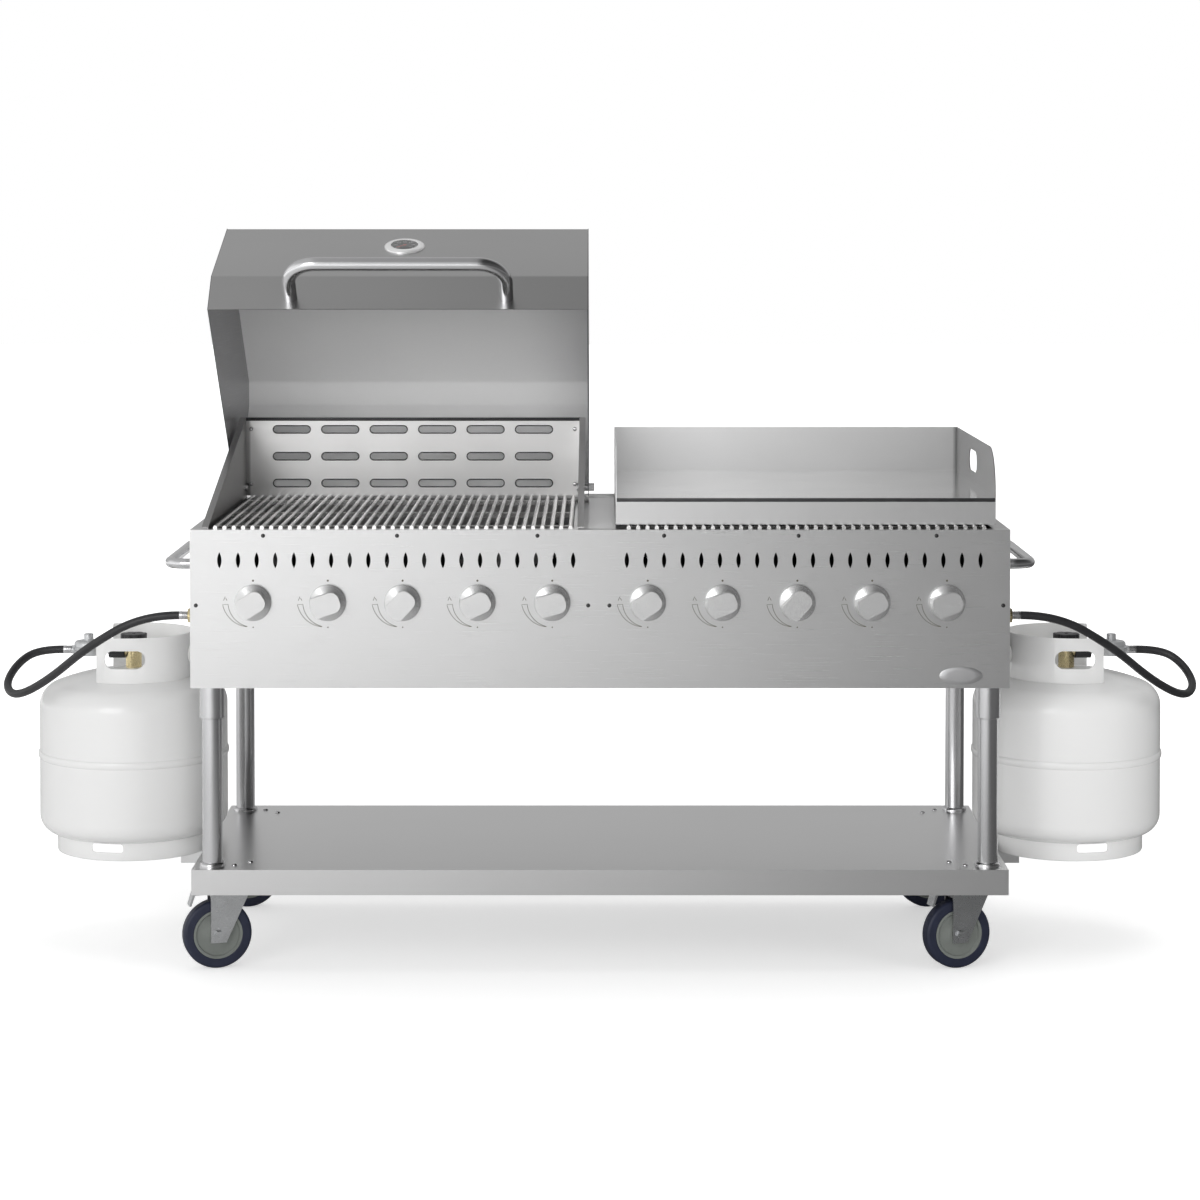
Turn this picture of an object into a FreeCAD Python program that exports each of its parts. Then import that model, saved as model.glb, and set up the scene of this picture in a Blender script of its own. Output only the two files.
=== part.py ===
import FreeCAD, Part
import math
import os
import re

import Sketcher
from FreeCAD import Placement, Rotation, Vector

# Gas grill on a cart: a covered cooking grate, a griddle, ten burners and two propane cylinders.
# Millimetres. +X is the cook's right, +Y points to the back, +Z is up and the floor is Z = 0.

SIZES = {
    # Firebox
    "front_y": -427.8,
    "panel_width": 1666,
    "panel_bottom": 584,
    "panel_height": 323,
    "box_depth": 720,
    "box_wall": 2,
    "panel_return": 28,
    "end_top_flange": 33,
    "end_bottom_flange": 75,
    "bridge_left": -25,
    "bridge_right": 32,
    "bridge_drop": 10,
    "bridge_ledge": 30,
    # Vents of the front panel
    "vents_per_side": 20,
    "vent_first": 54.5,
    "vent_pitch": 37.8,
    "vent_drop": 62,
    "vent_height": 33,
    "vent_width": 9,
    # Knobs, valves and manifold
    "knobs_per_side": 5,
    "knob_first": 97,
    "knob_pitch": 151.9,
    "knob_drop": 148,
    "knob_radius": 37,
    "knob_skirt": 12,
    "knob_reach": 42,
    "knob_gap": 0.8,
    "grip_width": 42,
    "grip_nose": 28,
    "grip_nose_radius": 15,
    "knob_cap": 8,
    "stem_radius": 4,
    "stem_hole": 14,
    "running_gap": 0.06,
    "manifold_y": 45,
    "manifold_drop": 180,
    "manifold_radius": 13.5,
    "manifold_gap": 0.5,
    "valve_width": 22,
    "valve_depth": 26,
    "valve_height": 33,
    "nozzle_radius": 5,
    "nozzle_length": 16,
    # Burners and what lies over and under them
    "burner_radius": 12.7,
    "burner_gap": 0.2,
    "support_front": 80,
    "support_rear_inset": 32,
    "support_bottom": 700,
    "support_top": 820,
    "support_wall": 2,
    "tent_half_width": 45,
    "tent_rise": 30,
    "tent_wall": 1.5,
    "tray_wall": 1.5,
    "tray_height": 40,
    "tray_gap": 5,
    # Cooking grates
    "bar_width": 8,
    "bar_height": 8,
    "bar_pitch": 19,
    "bars_per_grate": 39,
    "bar_chamfer": 2.5,
    "grate_inset": 6,
    "left_grate_x": -421,
    "right_grate_x": 419.5,
    "cross_bar": 8,
    "cross_bed": 2,
    "cross_front": 60,
    "cross_pitch": 275,
    # Wind guard round the left grate
    "guard_wall": 1.5,
    "guard_left": -797.5,
    "guard_right": -44.5,
    "guard_front": 8,
    "guard_front_rise": 5,
    "guard_back_inset": 48,
    "guard_rear_inset": 36,
    "guard_top": 1091,
    "guard_lip": 12,
    "slot_length": 84,
    "slot_width": 17,
    "slot_pitch_x": 109,
    "slot_pitch_z": 60.5,
    "slot_columns": 6,
    "slot_rows": 3,
    "slot_low_z": 943,
    # Lid, drawn closed about its hinge line
    "hinge_inset": 70,
    "hinge_z": 936,
    "lid_open": 42.3,
    "lid_left": -817,
    "lid_right": -25,
    "lid_wall": 1.5,
    "lid_front": 635,
    "lid_fold_front": 633,
    "lid_fold_rise": 75,
    "lid_top_front": 497,
    "lid_top_rise": 332,
    "lid_top_rear": 32,
    "lid_rear": 70,
    "lid_rear_rise": 291,
    "lid_rear_low": 64,
    "hinge_boss": 18,
    "hinge_pin_radius": 5,
    "hinge_head_radius": 9,
    "hinge_head": 6,
    "hinge_nut": 12,
    "hinge_gap": 0.3,
    "handle_radius": 14.5,
    "handle_width": 480,
    "handle_reach": 105,
    "handle_bend": 58,
    "handle_rise": 14,
    "dial_radius": 43.5,
    "dial_depth": 14,
    "dial_rim": 11,
    "dial_recess": 3,
    "dial_up_slope": 176,
    "probe_radius": 4,
    "probe_length": 60,
    # Griddle on the right grate
    "griddle_left": 32,
    "griddle_right": 807,
    "griddle_front": 30,
    "griddle_rear_inset": 22,
    "apron_height": 46,
    "apron_wall": 3,
    "plate_thickness": 8,
    "splash_height": 99,
    "splash_wall": 2,
    "splash_corner": 90,
    "grip_hole_y": 395,
    "grip_hole_rise": 47,
    "grip_hole_length": 131,
    "grip_hole_height": 46,
    # Side handles
    "side_handle_radius": 11,
    "side_handle_reach": 66,
    "side_handle_front": 150,
    "side_handle_rear": 540,
    "side_handle_bend": 40,
    "side_handle_z": 821,
    # Legs, shelf and arms
    "leg_radius": 20.65,
    "leg_wall": 1.6,
    "leg_x": 795,
    "leg_front": 44,
    "leg_rear": 623,
    "leg_gap": 0.1,
    "sleeve_radius": 25.4,
    "sleeve_length": 67,
    "shelf_depth": 675,
    "shelf_top": 212,
    "shelf_rim": 52,
    "shelf_wall": 2,
    "stiffener_width": 130,
    "stiffener_height": 20,
    "arm_side": 25.4,
    "arm_wall": 2,
    "arm_reach": 61,
    "arm_inner": 700,
    "arm_spread": 45,
    # Casters
    "caster_x": 760,
    "caster_front": 62,
    "caster_rear": 613,
    "caster_plate": 80,
    "caster_plate_wall": 4,
    "race_radius": 28,
    "race_height": 14,
    "kingpin_radius": 6,
    "kingpin_head_radius": 11,
    "kingpin_head": 6,
    "caster_gap": 0.3,
    "crown": 6.5,
    "caster_turn": 17,
    "caster_trail": 29,
    "wheel_radius": 70.5,
    "tyre_width": 32,
    "hub_radius": 24,
    "fork_inside": 38,
    "fork_wall": 4,
    "fork_back": 45,
    "fork_nose": 33,
    "fork_foot": 16,
    "fork_cheek": 20,
    "axle_radius": 6,
    "axle_head_radius": 10,
    "axle_head": 6,
    # Brake pedals of the front casters
    "pedal_pivot_back": 36,
    "pedal_pivot_z": 151,
    "pedal_pin_radius": 3,
    "pedal_width": 30,
    "pedal_boss": 6,
    "pedal_reach": 48,
    "pedal_drop": 20,
    "pedal_wall": 4,
    # Propane cylinders
    "tank_x": 1001,
    "tank_y": 345,
    "tank_radius": 199.5,
    "tank_wall": 3,
    "tank_bottom": 214,
    "tank_top": 577,
    "tank_crown_top": 477,
    "tank_crown_bottom": 955,
    "tank_knuckle_top": 50,
    "tank_knuckle_bottom": 40,
    "ring_radius": 163,
    "ring_wall": 3,
    "ring_slot_length": 66,
    "ring_slot_width": 18,
    "ring_slot_z": 217,
    "ring_slot_shift": 33,
    "collar_radius": 129,
    "collar_wall": 3.5,
    "collar_top": 655,
    "collar_mouth": 62,
    "hand_hole_length": 85,
    "hand_hole_width": 38,
    "hand_hole_z": 609,
    # Cylinder valve, regulator and hose
    "gas_z": 614,
    "valve_neck_radius": 17,
    "valve_body_radius": 13,
    "valve_body_top": 634,
    "valve_stem_radius": 4,
    "valve_stem": 12,
    "nut_start": 18,
    "nut_end": 52,
    "nut_radius": 18,
    "regulator_x": 96.5,
    "regulator_radius": 34.5,
    "regulator_low": 602,
    "regulator_high": 634,
    "regulator_neck_radius": 9,
    "regulator_stub_radius": 10,
    "regulator_stub": 14,
    "handwheel_radius": 28,
    "handwheel_height": 14,
    "handwheel_gap": 0.4,
    "hose_radius": 8.5,
    "ferrule_length": 18.5,
    "inlet_nut": 9.5,
    "inlet_nut_radius": 16,
}

# Bearing of each knob's grip above the horizontal, from the left end of the panel
KNOB_TURNS = [32, 19, 48, 25, 16, 34, 21, 48, 27, 20]

# The left hose from the panel's inlet to the regulator: distance outboard, depth behind the panel, height
HOSE_ROUTE = [
    (861, 45, 727),
    (935, 45, 727),
    (1050, 66, 661),
    (1150, 140, 577),
    (1226, 192, 535),
    (1261, 258, 550),
    (1246, 318, 588),
    (1205, 345, 614),
    (1151.5, 345, 614),
]
ARC_SHARE = 0.45
HOSE_SIDES = 12

# Heights and depths that several pieces share
PANEL_TOP = "(panel_bottom + panel_height)"
HALF_WIDTH = "(panel_width / 2)"
PANEL_INNER = "(front_y + box_wall)"
BACK = "(front_y + box_depth)"
RETURN_FRONT = "(front_y + panel_return)"
RETURN_BACK = "(front_y + box_depth - panel_return)"
KNOB_Z = "(panel_bottom + panel_height - knob_drop)"
MANIFOLD_Y = "(front_y + manifold_y)"
MANIFOLD_Z = "(panel_bottom + panel_height - manifold_drop)"
VALVE_FRONT = "(front_y + manifold_y - valve_depth / 2)"
VALVE_BACK = "(front_y + manifold_y + valve_depth / 2)"
GRATE_TOP = "(panel_bottom + panel_height + bar_height)"
LEDGE_TOP = "(panel_bottom + panel_height - bridge_drop)"
PLATE_LOW = "(panel_bottom + panel_height + bar_height + apron_height)"
PLATE_TOP = "(panel_bottom + panel_height + bar_height + apron_height + plate_thickness)"
HINGE_Y = "(front_y + box_depth - hinge_inset)"
SUPPORT_REAR = "(box_depth - support_rear_inset)"
GUARD_BACK = "(box_depth - guard_back_inset)"
GUARD_REAR_END = "(box_depth - guard_rear_inset)"
GRIDDLE_BACK = "(box_depth - griddle_rear_inset)"
SHELF_UNDER = "(shelf_top - shelf_wall)"
STIFFENER_LOW = "(shelf_top - shelf_wall - stiffener_height)"
LEG_FOOT = "(shelf_top - stiffener_height)"
RACE_LOW = "(shelf_top - shelf_wall - stiffener_height - caster_plate_wall - race_height)"
CROWN_TOP = "(shelf_top - shelf_wall - stiffener_height - caster_plate_wall - race_height - caster_gap)"
TANK_Y = "(front_y + tank_y)"

SIDES = {"left": -1, "right": 1}
AXES = {"x": Vector(1, 0, 0), "y": Vector(0, 1, 0), "z": Vector(0, 0, 1), "-x": Vector(-1, 0, 0)}
ALONG = {
    "x": Rotation(Vector(0, 1, 0), 90),
    "y": Rotation(Vector(-1, 0, 0), 90),
    "z": Rotation(),
}
PLANE_ROLES = {"xy": "XY_Plane", "xz": "XZ_Plane", "yz": "YZ_Plane"}
AXIS_ROLES = {"x": "X_Axis", "y": "Y_Axis", "z": "Z_Axis"}
WORD = re.compile(r"[a-z][a-z_0-9]*")

doc = FreeCAD.newDocument("gas_grill")
sheet = doc.addObject("Spreadsheet::Sheet", "Dims")
for row, (alias, size) in enumerate(SIZES.items(), start=1):
    sheet.set(f"A{row}", alias.replace("_", " "))
    sheet.set(f"B{row}", str(size))
    sheet.setAlias(f"B{row}", alias)
doc.recompute()

nodes = []


def bound(text):
    """The text as an expression on the sheet's cells."""
    return WORD.sub(lambda word: f"Dims.{word[0]}" if word[0] in SIZES else word[0], str(text))


def number(text):
    """The present value of an expression."""
    return float(sheet.evalExpression(bound(text)))


def bind(item, **sizes):
    """Tie properties of a document object to expressions."""
    for name, text in sizes.items():
        item.setExpression(name, bound(text))


def put(item, x=0, y=0, z=0, turn=None):
    """Place an object by expressions, turned by a positive angle about one axis."""
    if turn:
        axis, angle = turn
        item.Placement = Placement(Vector(), Rotation(AXES[axis], number(angle)))
        item.setExpression("Placement.Rotation.Angle", bound(angle))
    for name, text in zip("xyz", (x, y, z)):
        item.setExpression(f"Placement.Base.{name}", bound(text))
    return item


def node(label, item):
    """Name an object as one sub-part of the grill."""
    item.Label = label
    nodes.append(item)
    return item


def block(name, x, y, z):
    """A box between pairs of low and high expressions."""
    box = doc.addObject("Part::Box", name)
    for side, (low, high) in zip(("Length", "Width", "Height"), (x, y, z)):
        box.setExpression(side, bound(f"{high} - ({low})"))
    return put(box, x[0], y[0], z[0])


def rod(name, radius, start, length, along):
    """A cylinder from a start point along one axis."""
    cylinder = doc.addObject("Part::Cylinder", name)
    cylinder.Placement = Placement(Vector(), ALONG[along])
    bind(cylinder, Radius=radius, Height=length)
    return put(cylinder, *start)


def hex_rod(name, radius, start, length, along):
    """A hexagonal bar from a start point along one axis; the radius reaches its corners."""
    bar = doc.addObject("Part::Prism", name)
    bar.Polygon = 6
    bar.Placement = Placement(Vector(), ALONG[along])
    bind(bar, Circumradius=radius, Height=length)
    return put(bar, *start)


def fuse(name, items):
    """One solid from several."""
    solid = doc.addObject("Part::MultiFuse", name)
    solid.Shapes = items
    solid.Refine = True
    return solid


def cut(name, base, tools):
    """A solid less others."""
    for index, tool in enumerate(tools):
        remains = doc.addObject("Part::Cut", f"{name}_{index}")
        remains.Base = base
        remains.Tool = tool
        base = remains
    return base


def common(name, first, second):
    """What two solids share."""
    solid = doc.addObject("Part::MultiCommon", name)
    solid.Shapes = [first, second]
    return solid


def group(name, items):
    """Separate solids that share one sub-part."""
    several = doc.addObject("Part::Compound", name)
    several.Links = items
    return several


def pan(name, x, y, z, hollow_x, hollow_y, hollow_z):
    """A folded sheet tray: a block less a smaller one."""
    outside = block(f"{name}_outside", x, y, z)
    inside = block(f"{name}_inside", hollow_x, hollow_y, hollow_z)
    return cut(name, outside, [inside])


def quarter_bend(name, bend, radius, centre, first, second):
    """A quarter ring whose plane holds two directions, between them."""
    ring = doc.addObject("Part::Torus", name)
    bind(ring, Radius1=bend, Radius2=radius)
    ring.Angle3 = 90
    ring.Placement = Placement(Vector(), Rotation(first, second, first.cross(second), "XYZ"))
    return put(ring, *centre)


def origin_item(body, role):
    """One of a body's own origin planes or axes."""
    return next(item for item in body.Origin.OriginFeatures if item.Role == role)


def sketch_on(body, name, plane, offset=None):
    """A sketch on one of the body's origin planes."""
    sketch = body.newObject("Sketcher::SketchObject", name)
    sketch.AttachmentSupport = [(origin_item(body, PLANE_ROLES[plane]), "")]
    sketch.MapMode = "FlatFace"
    if offset:
        sketch.setExpression("AttachmentOffset.Base.z", bound(offset))
    return sketch


def hold(sketch, kind, places, text):
    """A sketch constraint tied to an expression."""
    index = sketch.addConstraint(Sketcher.Constraint(kind, *places, number(text)))
    label = f"size{index}"
    sketch.renameConstraint(index, label)
    sketch.setExpression(f"Constraints.{label}", bound(text))


def hold_point(sketch, edge, end, x, y):
    """Hold one end of an edge at expressions."""
    hold(sketch, "DistanceX", (-1, 1, edge, end), x)
    hold(sketch, "DistanceY", (-1, 1, edge, end), y)


def chain(sketch, first, count):
    """Close a ring of edges end to start."""
    for step in range(count):
        following = first + (step + 1) % count
        sketch.addConstraint(Sketcher.Constraint("Coincident", first + step, 2, following, 1))


def polygon(sketch, points):
    """A closed outline through points given as pairs of expressions."""
    corners = [Vector(number(x), number(y), 0) for x, y in points]
    first = sketch.GeometryCount
    for here, there in zip(corners, corners[1:] + corners[:1]):
        sketch.addGeometry(Part.LineSegment(here, there))
    chain(sketch, first, len(points))
    for step, (x, y) in enumerate(points):
        hold_point(sketch, first + step, 1, x, y)


def slot(sketch, x, y, length, width):
    """A round-ended slot that lies along the sketch's first axis."""
    reach = f"({length} - {width}) / 2"
    right, left = f"{x} + {reach}", f"{x} - {reach}"
    top, bottom = f"{y} + {width} / 2", f"{y} - {width} / 2"
    radius = number(width) / 2
    first = sketch.GeometryCount
    places = ((left, bottom), (right, bottom), (right, top), (left, top))
    corners = [Vector(number(a), number(b), 0) for a, b in places]
    right_end = Part.Circle(Vector(number(right), number(y), 0), AXES["z"], radius)
    left_end = Part.Circle(Vector(number(left), number(y), 0), AXES["z"], radius)
    sketch.addGeometry(Part.LineSegment(corners[0], corners[1]))
    sketch.addGeometry(Part.ArcOfCircle(right_end, -math.pi / 2, math.pi / 2))
    sketch.addGeometry(Part.LineSegment(corners[2], corners[3]))
    sketch.addGeometry(Part.ArcOfCircle(left_end, math.pi / 2, 3 * math.pi / 2))
    chain(sketch, first, 4)
    hold_point(sketch, first, 1, left, bottom)
    hold_point(sketch, first, 2, right, bottom)
    hold_point(sketch, first + 2, 1, right, top)
    hold_point(sketch, first + 2, 2, left, top)
    hold(sketch, "DistanceX", (-1, 1, first + 1, 3), right)
    hold(sketch, "DistanceX", (-1, 1, first + 3, 3), left)


def lens(sketch, x, y, height, width):
    """A pointed upright opening between two arcs."""
    radius = f"({height} * {height} / 4 + {width} * {width} / 4) / {width}"
    top, bottom = f"{y} + {height} / 2", f"{y} - {height} / 2"
    size = number(radius)
    spread = math.asin(number(height) / 2 / size)
    inset = size - number(width) / 2
    first = sketch.GeometryCount
    right_arc = Part.Circle(Vector(number(x) - inset, number(y), 0), AXES["z"], size)
    left_arc = Part.Circle(Vector(number(x) + inset, number(y), 0), AXES["z"], size)
    sketch.addGeometry(Part.ArcOfCircle(right_arc, -spread, spread))
    sketch.addGeometry(Part.ArcOfCircle(left_arc, math.pi - spread, math.pi + spread))
    chain(sketch, first, 2)
    hold_point(sketch, first, 1, x, bottom)
    hold_point(sketch, first, 2, x, top)
    hold(sketch, "Radius", (first,), radius)
    hold(sketch, "Radius", (first + 1,), radius)


def pad(body, sketch, length, symmetric=False):
    """Thicken a sketch towards +X, +Y or +Z, or to both sides."""
    feature = body.newObject("PartDesign::Pad", f"{sketch.Name}_pad")
    feature.Profile = sketch
    feature.Reversed = sketch.AttachmentSupport[0][0].Role == "XZ_Plane"
    feature.SideType = "Symmetric" if symmetric else "One side"
    bind(feature, Length=length)
    return feature


def pocket(body, sketch, depth):
    """Cut a sketch into a body, from its plane towards +X, +Y or +Z."""
    feature = body.newObject("PartDesign::Pocket", f"{sketch.Name}_pocket")
    feature.Profile = sketch
    feature.Reversed = sketch.AttachmentSupport[0][0].Role != "XZ_Plane"
    bind(feature, Length=depth)
    return feature


def repeat(body, feature, axis, count, pitch):
    """Repeat a feature along one axis."""
    doc.recompute()
    rows = body.newObject("PartDesign::LinearPattern", f"{feature.Name}_rows")
    rows.Originals = [feature]
    rows.Direction = (origin_item(body, AXIS_ROLES[axis]), [""])
    rows.Mode = "Spacing"
    bind(rows, Offset=pitch, Occurrences=count)
    body.Tip = rows
    return rows


def round_edges(body, feature, name, radius, keep):
    """Round the edges of a feature that the test keeps."""
    doc.recompute()
    picked = [f"Edge{i}" for i, edge in enumerate(feature.Shape.Edges, start=1) if keep(edge)]
    fillet = body.newObject("PartDesign::Fillet", name)
    fillet.Base = (feature, picked)
    bind(fillet, Radius=radius)
    return fillet


def new_body(name):
    """An empty body for sketched features."""
    return doc.addObject("PartDesign::Body", name)


def prism(name, plane, points, length, symmetric=False):
    """A body that is one outline made thick."""
    body = new_body(name)
    sketch = sketch_on(body, f"{name}_outline", plane)
    polygon(sketch, points)
    pad(body, sketch, length, symmetric)
    return body


def turned_body(name, draw):
    """A body turned about its own upright axis from a sketch that a function draws."""
    body = new_body(name)
    section = sketch_on(body, f"{name}_section", "xz")
    draw(section)
    turned = body.newObject("PartDesign::Revolution", f"{name}_turned")
    turned.Profile = section
    turned.ReferenceAxis = (section, ["V_Axis"])
    turned.Angle = 360
    return body


def lies_at(edge, **place):
    """Whether an edge's middle lies at the given coordinates."""
    middle = edge.BoundBox.Center
    return all(abs(getattr(middle, name) - value) < 0.01 for name, value in place.items())


def burner_x(index):
    """The place of a burner across the panel, counted from the left end."""
    per_side = int(number("knobs_per_side"))
    step = per_side - 1 - index if index < per_side else index - per_side
    sign = "-" if index < per_side else ""
    return f"{sign}(knob_first + {step} * knob_pitch)"


BURNER_COUNT = 2 * int(number("knobs_per_side"))


# Firebox


def front_panel():
    """The control panel: a shallow pan with vents and holes for the valve stems."""
    body = new_body("front_panel")
    face = sketch_on(body, "front_face", "xz")
    low, high = f"-{HALF_WIDTH}", HALF_WIDTH
    polygon(face, [(low, "panel_bottom"), (high, "panel_bottom"), (high, PANEL_TOP), (low, PANEL_TOP)])
    pad(body, face, "panel_return")
    hollow = sketch_on(body, "front_hollow", "xz", "-box_wall")
    inner_low, inner_high = f"-{HALF_WIDTH} + box_wall", f"{HALF_WIDTH} - box_wall"
    floor, roof = "panel_bottom + box_wall", f"{PANEL_TOP} - box_wall"
    polygon(hollow, [(inner_low, floor), (inner_high, floor), (inner_high, roof), (inner_low, roof)])
    pocket(body, hollow, "panel_return")
    starts = {"left": ("-(vent_first + (vents_per_side - 1) * vent_pitch)",
                       "-(knob_first + (knobs_per_side - 1) * knob_pitch)"),
              "right": ("vent_first", "knob_first")}
    for side, (vent_x, stem_x) in starts.items():
        vents = sketch_on(body, f"{side}_vent", "xz")
        lens(vents, vent_x, f"{PANEL_TOP} - vent_drop", "vent_height", "vent_width")
        repeat(body, pocket(body, vents, "box_wall"), "x", "vents_per_side", "vent_pitch")
        stems = sketch_on(body, f"{side}_stem_hole", "xz")
        near, far = f"{stem_x} - stem_hole / 2", f"{stem_x} + stem_hole / 2"
        under, over = f"{KNOB_Z} - stem_hole / 2", f"{KNOB_Z} + stem_hole / 2"
        polygon(stems, [(near, under), (far, under), (far, over), (near, over)])
        repeat(body, pocket(body, stems, "box_wall"), "x", "knobs_per_side", "knob_pitch")
    node("front_panel", put(body, y="front_y"))


def rear_panel():
    """The plain back of the firebox, folded forward on all four sides, with an upstand behind the grates."""
    outside_x, outside_z = (f"-{HALF_WIDTH}", HALF_WIDTH), ("panel_bottom", PANEL_TOP)
    inside_x = (f"-{HALF_WIDTH} + box_wall", f"{HALF_WIDTH} - box_wall")
    inside_z = ("panel_bottom + box_wall", f"{PANEL_TOP} - box_wall")
    inside_y = (RETURN_BACK, f"{BACK} - box_wall")
    sheet_pan = pan("rear_pan", outside_x, (RETURN_BACK, BACK), outside_z, inside_x, inside_y, inside_z)
    upstand = block("rear_upstand", outside_x, (f"{BACK} - box_wall", BACK), (PANEL_TOP, GRATE_TOP))
    node("rear_panel", fuse("rear_panel", [sheet_pan, upstand]))


def end_panel(side):
    """One end of the firebox: a channel with the hole for the gas inlet."""
    sign = SIDES[side]
    face, inner = f"{sign} * {HALF_WIDTH}", f"{sign} * ({HALF_WIDTH} - box_wall)"
    top, bottom = f"{sign} * ({HALF_WIDTH} - end_top_flange)", f"{sign} * ({HALF_WIDTH} - end_bottom_flange)"
    profile = [
        (face, "panel_bottom"),
        (face, PANEL_TOP),
        (top, PANEL_TOP),
        (top, f"{PANEL_TOP} - box_wall"),
        (inner, f"{PANEL_TOP} - box_wall"),
        (inner, "panel_bottom + box_wall"),
        (bottom, "panel_bottom + box_wall"),
        (bottom, "panel_bottom"),
    ]
    channel = prism(f"{side}_end_channel", "xz", profile, "box_depth - 2 * panel_return")
    put(channel, y=RETURN_FRONT)
    inlet_start = (f"{sign} * {HALF_WIDTH} - box_depth / 2", MANIFOLD_Y, MANIFOLD_Z)
    inlet = rod(f"{side}_inlet_hole", "manifold_radius + manifold_gap", inlet_start, "box_depth", "x")
    node(f"{side}_end_panel", cut(f"{side}_end_panel", channel, [inlet]))


def centre_bridge():
    """The hat-shaped strip between the two cooking sections, with ledges for the grates."""
    left_out, right_out = "bridge_left - bridge_ledge", "bridge_right + bridge_ledge"
    profile = [
        (left_out, f"{LEDGE_TOP} - box_wall"),
        ("bridge_left + box_wall", f"{LEDGE_TOP} - box_wall"),
        ("bridge_left + box_wall", f"{PANEL_TOP} - box_wall"),
        ("bridge_right - box_wall", f"{PANEL_TOP} - box_wall"),
        ("bridge_right - box_wall", f"{LEDGE_TOP} - box_wall"),
        (right_out, f"{LEDGE_TOP} - box_wall"),
        (right_out, LEDGE_TOP),
        ("bridge_right", LEDGE_TOP),
        ("bridge_right", PANEL_TOP),
        ("bridge_left", PANEL_TOP),
        ("bridge_left", LEDGE_TOP),
        (left_out, LEDGE_TOP),
    ]
    strip = prism("centre_bridge", "xz", profile, "box_depth - 2 * panel_return")
    node("centre_bridge", put(strip, y=RETURN_FRONT))


def manifold():
    """The gas pipe behind the panel, open to a hose at both ends."""
    start = (f"-{HALF_WIDTH}", MANIFOLD_Y, MANIFOLD_Z)
    node("manifold", rod("manifold", "manifold_radius", start, "panel_width", "x"))


def gas_valves():
    """A valve on the manifold for each burner, its stem through the panel and its nozzle to the back."""
    valves = []
    for index in range(BURNER_COUNT):
        x = burner_x(index)
        low = f"{MANIFOLD_Z} + manifold_radius"
        across = (f"{x} - valve_width / 2", f"{x} + valve_width / 2")
        height = (low, f"{low} + valve_height")
        body = block(f"valve_body_{index + 1}", across, (VALVE_FRONT, VALVE_BACK), height)
        tip = "(front_y - knob_reach + knob_cap)"
        stem = rod(f"valve_stem_{index + 1}", "stem_radius", (x, tip, KNOB_Z), f"{VALVE_FRONT} - {tip}", "y")
        start = (x, VALVE_BACK, KNOB_Z)
        nozzle = hex_rod(f"valve_nozzle_{index + 1}", "nozzle_radius", start, "nozzle_length", "y")
        valves.append(fuse(f"valve_{index + 1}", [body, stem, nozzle]))
    node("gas_valves", group("gas_valves", valves))


def burners():
    """Straight tube burners from the valves to the back, the plates that carry them and their heat tents."""
    tubes, notches, tents = [], [], []
    start_y = f"({VALVE_BACK} + nozzle_length)"
    length = f"{BACK} - box_wall - {start_y}"
    tent_length = f"{SUPPORT_REAR} - support_front + support_wall"
    rise = "support_top + tent_rise"
    profile = [
        ("-tent_half_width", "support_top"),
        ("0", rise),
        ("tent_half_width", "support_top"),
        ("tent_half_width", "support_top + tent_wall"),
        ("0", f"{rise} + tent_wall"),
        ("-tent_half_width", "support_top + tent_wall"),
    ]
    for index in range(BURNER_COUNT):
        x = burner_x(index)
        tubes.append(rod(f"burner_{index + 1}", "burner_radius", (x, start_y, KNOB_Z), length, "y"))
        half = "(burner_radius + burner_gap)"
        across = (f"{x} - {half}", f"{x} + {half}")
        depth = ("front_y + support_front", BACK)
        notches.append(block(f"notch_{index + 1}", across, depth, (f"{KNOB_Z} - burner_radius", rise)))
        tent = prism(f"tent_{index + 1}", "xz", profile, tent_length)
        tents.append(put(tent, x=x, y="front_y + support_front"))
    plates = []
    for place in ("support_front", SUPPORT_REAR):
        across = (f"-{HALF_WIDTH} + box_wall", f"{HALF_WIDTH} - box_wall")
        depth = (f"front_y + {place}", f"front_y + {place} + support_wall")
        plate = block(f"{place}_plate", across, depth, ("support_bottom", "support_top"))
        plates.append(cut(f"{place}_notched", plate, [group(f"{place}_notches", notches)]))
    node("burners", group("burners", tubes))
    node("burner_supports", group("burner_supports", plates))
    node("heat_tents", group("heat_tents", tents))


def drip_trays():
    """Open trays under both sections, resting on the folded bottom edges."""
    trays = []
    reach = f"({HALF_WIDTH} - end_bottom_flange - tray_gap)"
    depth = (f"{PANEL_INNER} + tray_gap", f"{BACK} - box_wall - tray_gap")
    inner_depth = (f"{depth[0]} + tray_wall", f"{depth[1]} - tray_wall")
    floor = "panel_bottom + box_wall"
    for side, across in (("left", (f"-{reach}", "-tray_gap")), ("right", ("tray_gap", reach))):
        inside = (f"{across[0]} + tray_wall", f"{across[1]} - tray_wall")
        height = (floor, f"{floor} + tray_height")
        hollow = (f"{floor} + tray_wall", f"{floor} + 2 * tray_height")
        trays.append(pan(f"{side}_tray", across, depth, height, inside, inner_depth, hollow))
    node("drip_trays", group("drip_trays", trays))


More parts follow.
